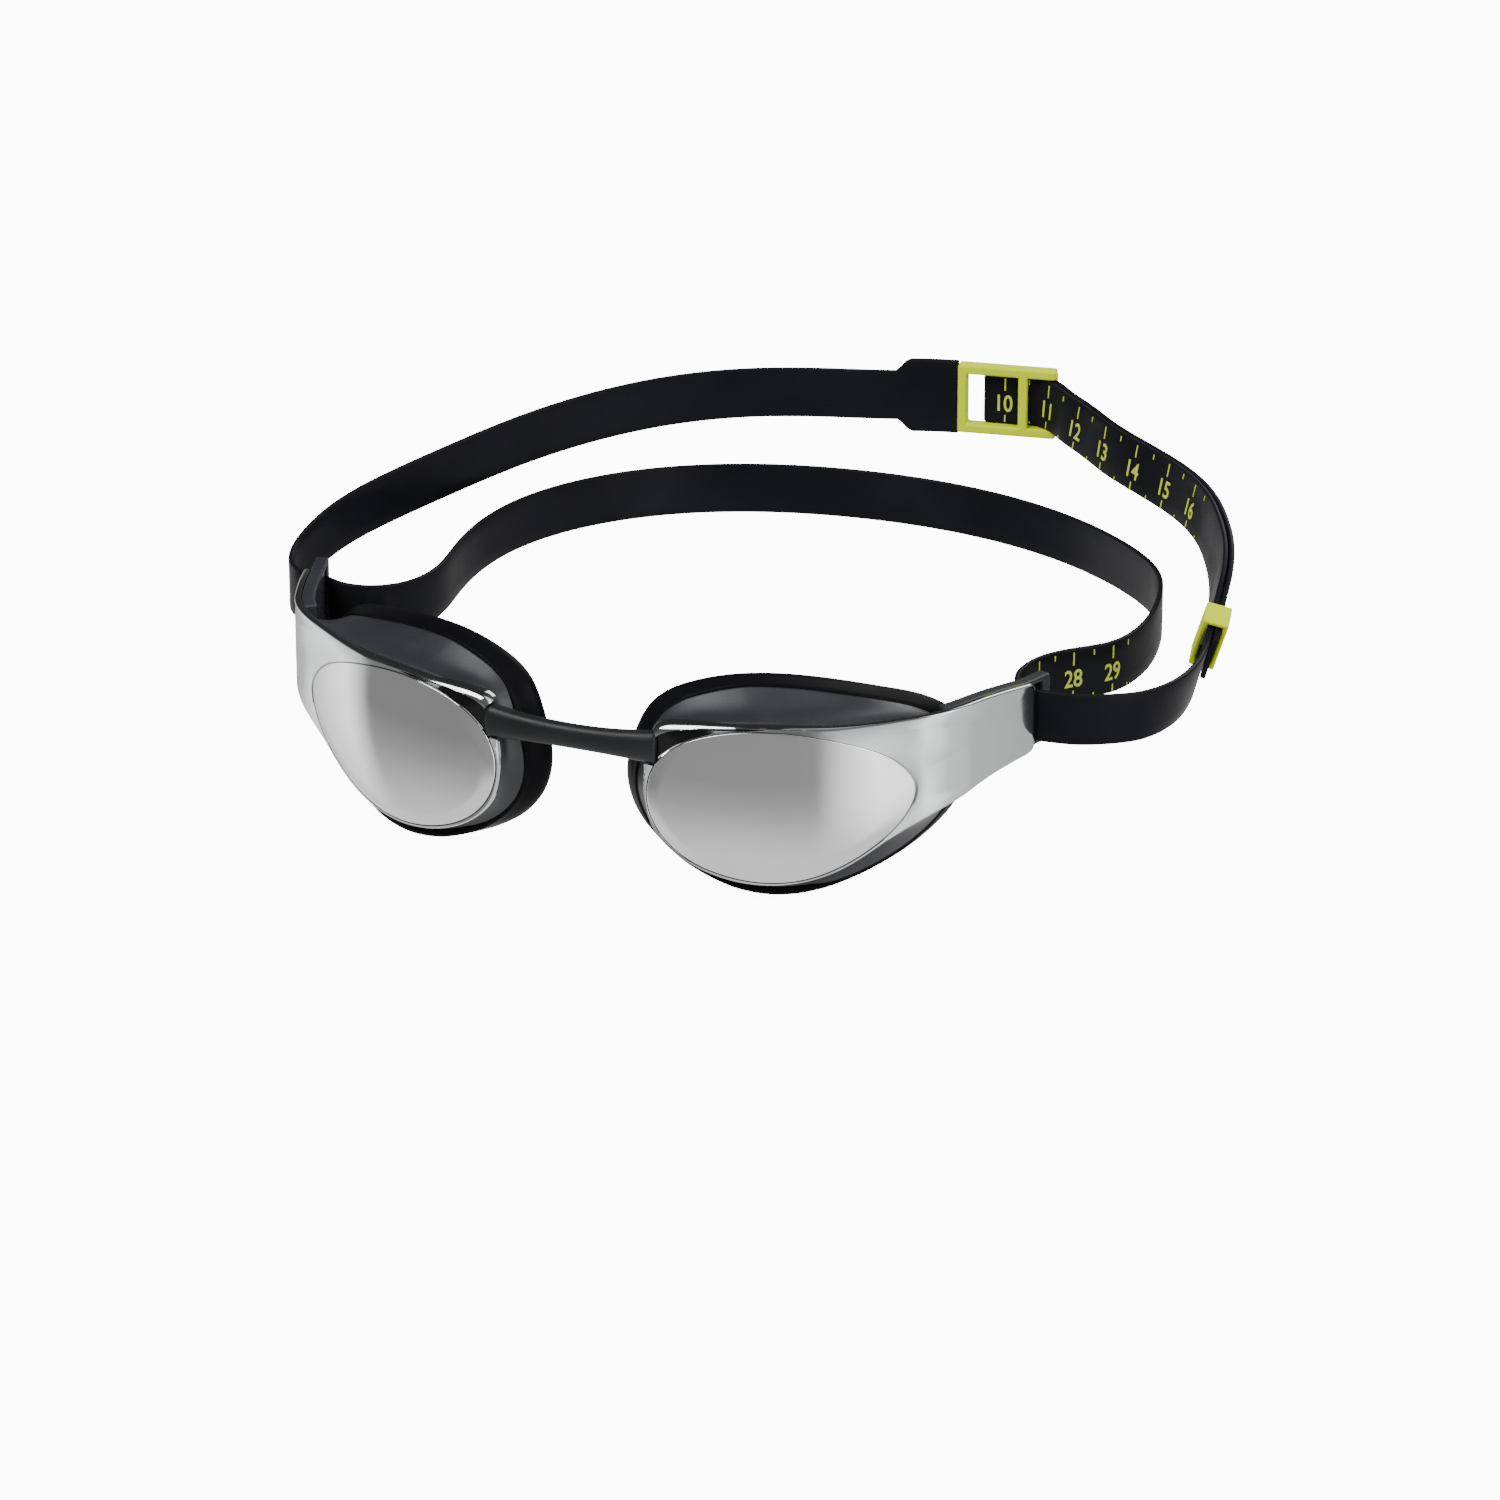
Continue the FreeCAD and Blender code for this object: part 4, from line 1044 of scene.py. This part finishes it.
def build_numbered_band():
    """One band: slot, riser, scale run, fold in the buckle, and the tail back to the keeper."""
    base, riser_from, riser_to = numbered_band()
    inner_u = steps(0, base.length)
    inner_points, _, _, _ = base.place(inner_u)
    tail_u = steps(base.length, riser_from + TAIL_END)
    tail_points, _, _, tail_out = base.place(tail_u)
    tail_points = tail_points + tail_out * LAYER_STEP
    chain = [*inner_points, *strap_fold_points(), *tail_points]
    whole = Band(chain)
    fold_first = whole.at[len(inner_points) - 1]
    fold_last = whole.at[len(inner_points) + len(strap_fold_points())]
    leans = np.interp(inner_u, [0, riser_from, riser_to, base.length], [0, RISER_LEAN, RISER_LEAN, 0])
    tail_leans = -np.interp(tail_u, [0, riser_from, riser_to, base.length], [0, RISER_LEAN, RISER_LEAN, 0])
    marks = np.concatenate([whole.at[:len(inner_points)], whole.at[-len(tail_points):]])
    whole.lean = lambda u: np.interp(u, marks, np.concatenate([leans, tail_leans]))
    distances = np.concatenate([
        steps(0, fold_first)[:-1], steps(fold_first, fold_last, 0.3)[:-1], steps(fold_last, whole.length),
    ])
    obj = band_object("strap_numbered_band", whole, distances)
    nodes = ["strap_outer_run_left", "strap_keeper_run", "strap_scale_run", "strap_tail_keeper_end"]
    finish_piece(obj, STRAP_RUBBER, None, "strap_rubber", *nodes, "strap_tail", "strap_buckle_fold")
    blended(obj, "upper_loop", *LEFT_UPPER_BEND)
    return whole


# ---- printed scale
def print_on_band(name, band, flat, faces):
    """Lays flat (towards the buckle, across, lift) points on the printed face of a band."""
    p, _, across, out = band.place(flat[:, 0])
    points = p + across * flat[:, 1:2] - out * (STRAP_THICKNESS / 2 + PRINT_LIFT + flat[:, 2:3])
    obj = make_object(name, points, faces)
    obj.data.shade_flat()
    return obj


def tick(u, low, high, width):
    """One printed mark as a thin plate."""
    points = []
    for lift in (PRINT_HALF, -PRINT_HALF):
        points += [(u - width / 2, low, lift), (u + width / 2, low, lift),
                   (u + width / 2, high, lift), (u - width / 2, high, lift)]
    faces = [(0, 1, 2, 3), (7, 6, 5, 4), (0, 4, 5, 1), (1, 5, 6, 2), (2, 6, 7, 3), (3, 7, 4, 0)]
    return np.array(points), faces


def digits(text, u):
    """Printed figures as thin plates; they read from the keeper's side to the buckle's."""
    curve = bpy.data.curves.new("figures", "FONT")
    curve.body = text
    curve.align_x = "CENTER"
    curve.extrude = FIGURE_BOLDNESS
    curve.offset = FIGURE_BOLDNESS
    curve.resolution_u = 6
    holder = bpy.data.objects.new("figures", curve)
    bpy.context.scene.collection.objects.link(holder)
    graph = bpy.context.evaluated_depsgraph_get()
    mesh = bpy.data.meshes.new_from_object(holder.evaluated_get(graph))
    co = np.array([v.co for v in mesh.vertices], float).reshape(-1, 3)
    faces = [tuple(f.vertices) for f in mesh.polygons]
    bpy.data.objects.remove(holder)
    size = FIGURE_HEIGHT / (co[:, 1].max() - co[:, 1].min())
    x = (co[:, 0] - (co[:, 0].max() + co[:, 0].min()) / 2) * size * FIGURE_NARROWING
    y = (co[:, 1] - (co[:, 1].max() + co[:, 1].min()) / 2) * size - FIGURE_DROP
    return np.stack([u - x, y, np.sign(co[:, 2]) * PRINT_HALF], -1), faces


def scale_marks(numbers, first_at, spacing):
    """Long marks and figures at whole numbers, short marks half way between, back from first_at."""
    points = []
    faces = []

    def add(part):
        part_points, part_faces = part
        base = sum(len(q) for q in points)
        points.append(part_points)
        faces.extend(tuple(base + i for i in f) for f in part_faces)

    for step, number in enumerate(numbers):
        u = first_at - step * spacing
        for low, high in WHOLE_MARKS:
            add(tick(u, low, high, WHOLE_MARK_WIDTH))
        add(digits(str(number), u))
        for low, high in HALF_MARKS:
            add(tick(first_at - (step + 0.5) * spacing, low, high, HALF_MARK_WIDTH))
    return np.vstack(points), faces


# ---- buckle and keeper
def buckle():
    """Two rails joined at the tab's end, a crossbar for the fold and a thin bar behind the strap."""
    length, height, thick = BUCKLE_HALF_LENGTH, BUCKLE_HALF_HEIGHT, BUCKLE_HALF_THICKNESS
    inside = height - BUCKLE_RAIL
    into_rail = inside + BUCKLE_RAIL / 2
    zs = [-height, -inside, inside, height]
    bar_zs = [-into_rail, into_rail]
    shells = [
        cell_solid([-length - TAB_LAP, WINDOW_START, length], zs, (-thick, thick), [(1, 1)]),
        cell_solid(CROSSBAR, bar_zs, (-thick + BAR_INSET, CROSSBAR_BACK), []),
        cell_solid([END_BAR_START, length - BAR_INSET], bar_zs, END_BAR_DEPTHS, []),
    ]
    placed = []
    faces = []
    for shell_points, shell_faces in shells:
        faces += [[i + len(placed) for i in face] for face in shell_faces]
        placed += [buckle_point(*p) for p in shell_points]
    obj = make_object("buckle_frame", np.array(placed), faces)
    round_edges(obj, BUCKLE_EDGE)
    return obj


def keeper(band, riser_from):
    """A loop round both layers of the strap."""
    p, along, across, out = (v[0] for v in band.place(riser_from + KEEPER_AT))
    stack = 2 * STRAP_THICKNESS + (LAYER_STEP - STRAP_THICKNESS) + 2 * KEEPER_CLEARANCE
    half_stack = stack / 2
    half_width = STRAP_WIDTH / 2 + KEEPER_CLEARANCE
    xs = [-half_stack - KEEPER_WALL, -half_stack, half_stack, half_stack + KEEPER_WALL]
    zs = [-half_width - KEEPER_WALL, -half_width, half_width, half_width + KEEPER_WALL]
    points, faces = cell_solid(xs, zs, (-KEEPER_LENGTH / 2, KEEPER_LENGTH / 2), [(1, 1)])
    centre = p + out * LAYER_STEP / 2
    placed = centre + out * points[:, :1] + along * points[:, 1:2] + across * points[:, 2:]
    obj = make_object("keeper_loop", placed, faces)
    round_edges(obj, KEEPER_EDGE)
    return obj


# ---- floor, light and camera
def studio():
    """A pale glowing floor that neither lights the object nor shows in it, and three soft lamps."""
    floor_z = float(CAD_LOW.z)
    bpy.ops.mesh.primitive_plane_add(size=FLOOR_SIZE, location=(0, 0, floor_z))
    floor = bpy.context.object
    floor.name = "studio_floor"
    floor.data.materials.append(surface(
        "pale_floor", (0.86, 0.86, 0.86), (0.88, 0.88, 0.88), (0.35, 0.42), 60.0, 0.01, mottle=4.0
    ))
    glow = floor.data.materials[0].node_tree.nodes["Principled BSDF"]
    glow.inputs["Emission Color"].default_value = (1, 1, 1, 1)
    glow.inputs["Emission Strength"].default_value = FLOOR_GLOW
    floor.visible_glossy = False
    floor.visible_diffuse = False
    middle = Vector(world(STUDIO_MIDDLE).tolist())
    for name, place, size, power in LAMPS:
        light = bpy.data.lights.new(name, "AREA")
        light.size = size
        light.energy = power
        lamp = bpy.data.objects.new(name, light)
        lamp.location = middle + Vector(place)
        lamp.rotation_euler = (-Vector(place)).to_track_quat("-Z", "Y").to_euler()
        bpy.context.scene.collection.objects.link(lamp)


def level_ramp(nodes, links, value, span, stops, ends):
    """A curve of brightness over a value from 0 to 1, with its stops' places from -span to span."""
    node = nodes.new("ShaderNodeValToRGB")
    elements = node.color_ramp.elements
    for element, place, level in ((elements[0], 0.0, ends[0]), (elements[1], 1.0, ends[1])):
        element.position = place
        element.color = rgba(level)
    for place, level in stops:
        element = elements.new((place + span) / (2 * span))
        element.color = rgba(level)
    links.new(value, node.inputs["Fac"])
    return node.outputs["Color"]


def blend_colours(nodes, links, factor, first, second):
    """first where the factor is 0, second where it is 1; each is a socket or a grey level."""
    node = nodes.new("ShaderNodeMix")
    node.data_type = "RGBA"
    links.new(factor, node.inputs["Factor"])
    for socket, source in (("A", first), ("B", second)):
        if isinstance(source, float):
            node.inputs[socket].default_value = rgba(source)
        else:
            links.new(source, node.inputs[socket])
    return node.outputs["Result"]


def sky():
    """A white studio for the eye; for reflections a grey front, a bright floor and bright sides."""
    backdrop = bpy.data.worlds.new("studio")
    bpy.context.scene.world = backdrop
    backdrop.use_nodes = True
    nodes = backdrop.node_tree.nodes
    links = backdrop.node_tree.links
    nodes.clear()
    place = nodes.new("ShaderNodeTexCoord")
    split = nodes.new("ShaderNodeSeparateXYZ")
    links.new(place.outputs["Generated"], split.inputs["Vector"])
    flip = nodes.new("ShaderNodeMath")
    flip.operation = "MULTIPLY"
    flip.inputs[1].default_value = -1.0
    links.new(split.outputs["Y"], flip.inputs[0])
    angle = nodes.new("ShaderNodeMath")
    angle.operation = "ARCTAN2"
    links.new(split.outputs["X"], angle.inputs[0])
    links.new(flip.outputs["Value"], angle.inputs[1])

    def to_unit(value, reach):
        """Maps -reach to reach onto 0 to 1."""
        node = nodes.new("ShaderNodeMapRange")
        node.inputs["From Min"].default_value = -reach
        node.inputs["From Max"].default_value = reach
        links.new(value, node.inputs["Value"])
        return node.outputs["Result"]

    around = to_unit(angle.outputs["Value"], math.pi)
    height = to_unit(split.outputs["Z"], 1.0)
    low = level_ramp(nodes, links, around, 180, LOW_STOPS, (BACK_LEVEL, BACK_LEVEL))
    high = level_ramp(nodes, links, around, 180, HIGH_STOPS, (HIGH_BACK_LEVEL, HIGH_BACK_LEVEL))
    floor_share = level_ramp(nodes, links, height, 1, FLOOR_SHARE_STOPS, (1.0, 0.0))
    high_share = level_ramp(nodes, links, height, 1, HIGH_SHARE_STOPS, (0.0, 1.0))
    seen = nodes.new("ShaderNodeLightPath")
    lower = blend_colours(nodes, links, floor_share, low, FLOOR_LEVEL)
    reflected = blend_colours(nodes, links, high_share, lower, high)
    lit = blend_colours(nodes, links, seen.outputs["Is Glossy Ray"], MATT_LEVEL, reflected)
    shown = blend_colours(nodes, links, seen.outputs["Is Camera Ray"], lit, BACKDROP_LEVEL)
    background = nodes.new("ShaderNodeBackground")
    links.new(shown, background.inputs["Color"])
    output = nodes.new("ShaderNodeOutputWorld")
    links.new(background.outputs["Background"], output.inputs["Surface"])


def camera():
    """The photo's view of the object."""
    azimuth = math.radians(CAMERA_AZIMUTH)
    elevation = math.radians(CAMERA_ELEVATION)
    back = Vector((
        math.sin(azimuth) * math.cos(elevation),
        -math.cos(azimuth) * math.cos(elevation),
        math.sin(elevation),
    ))
    data = bpy.data.cameras.new("camera")
    data.lens = CAMERA_LENS
    data.sensor_width = SENSOR_WIDTH
    eye = bpy.data.objects.new("camera", data)
    eye.location = Vector(world(CAMERA_TARGET).tolist()) + back * CAMERA_DISTANCE * MM
    eye.rotation_euler = (-back).to_track_quat("-Z", "Y").to_euler()
    bpy.context.scene.collection.objects.link(eye)
    bpy.context.scene.camera = eye


# ---- everything together
camera()
sky()
studio()
build_eyepieces()
build_upper_band()
lower_band = build_lower_bands()
numbered = build_numbered_band()
base_band, riser_begin, _ = numbered_band()
finish_piece(buckle(), CLIP_PLASTIC, "upper_loop", "clip_plastic", "strap_buckle")
finish_piece(keeper(base_band, riser_begin), CLIP_PLASTIC, "keeper", "clip_plastic", "strap_keeper")

# The scale's figures on the run to the buckle, and on the leg inside the left arm.
rear_marks = scale_marks(REAR_NUMBERS, base_band.length - REAR_START, REAR_SPACING)
scale_print = print_on_band("scale_print_rear", numbered, *rear_marks)
finish_piece(scale_print, INK, "upper_loop", "clip_plastic")
leg_marks = scale_marks(LEG_NUMBERS, lower_band.at[-4] - LEG_START, LEG_SPACING)
leg_print = print_on_band("scale_print_leg", lower_band, *leg_marks)
finish_piece(leg_print, INK, None, "clip_plastic")
blended(leg_print, "lower_loop", *LEFT_LOWER_BEND)
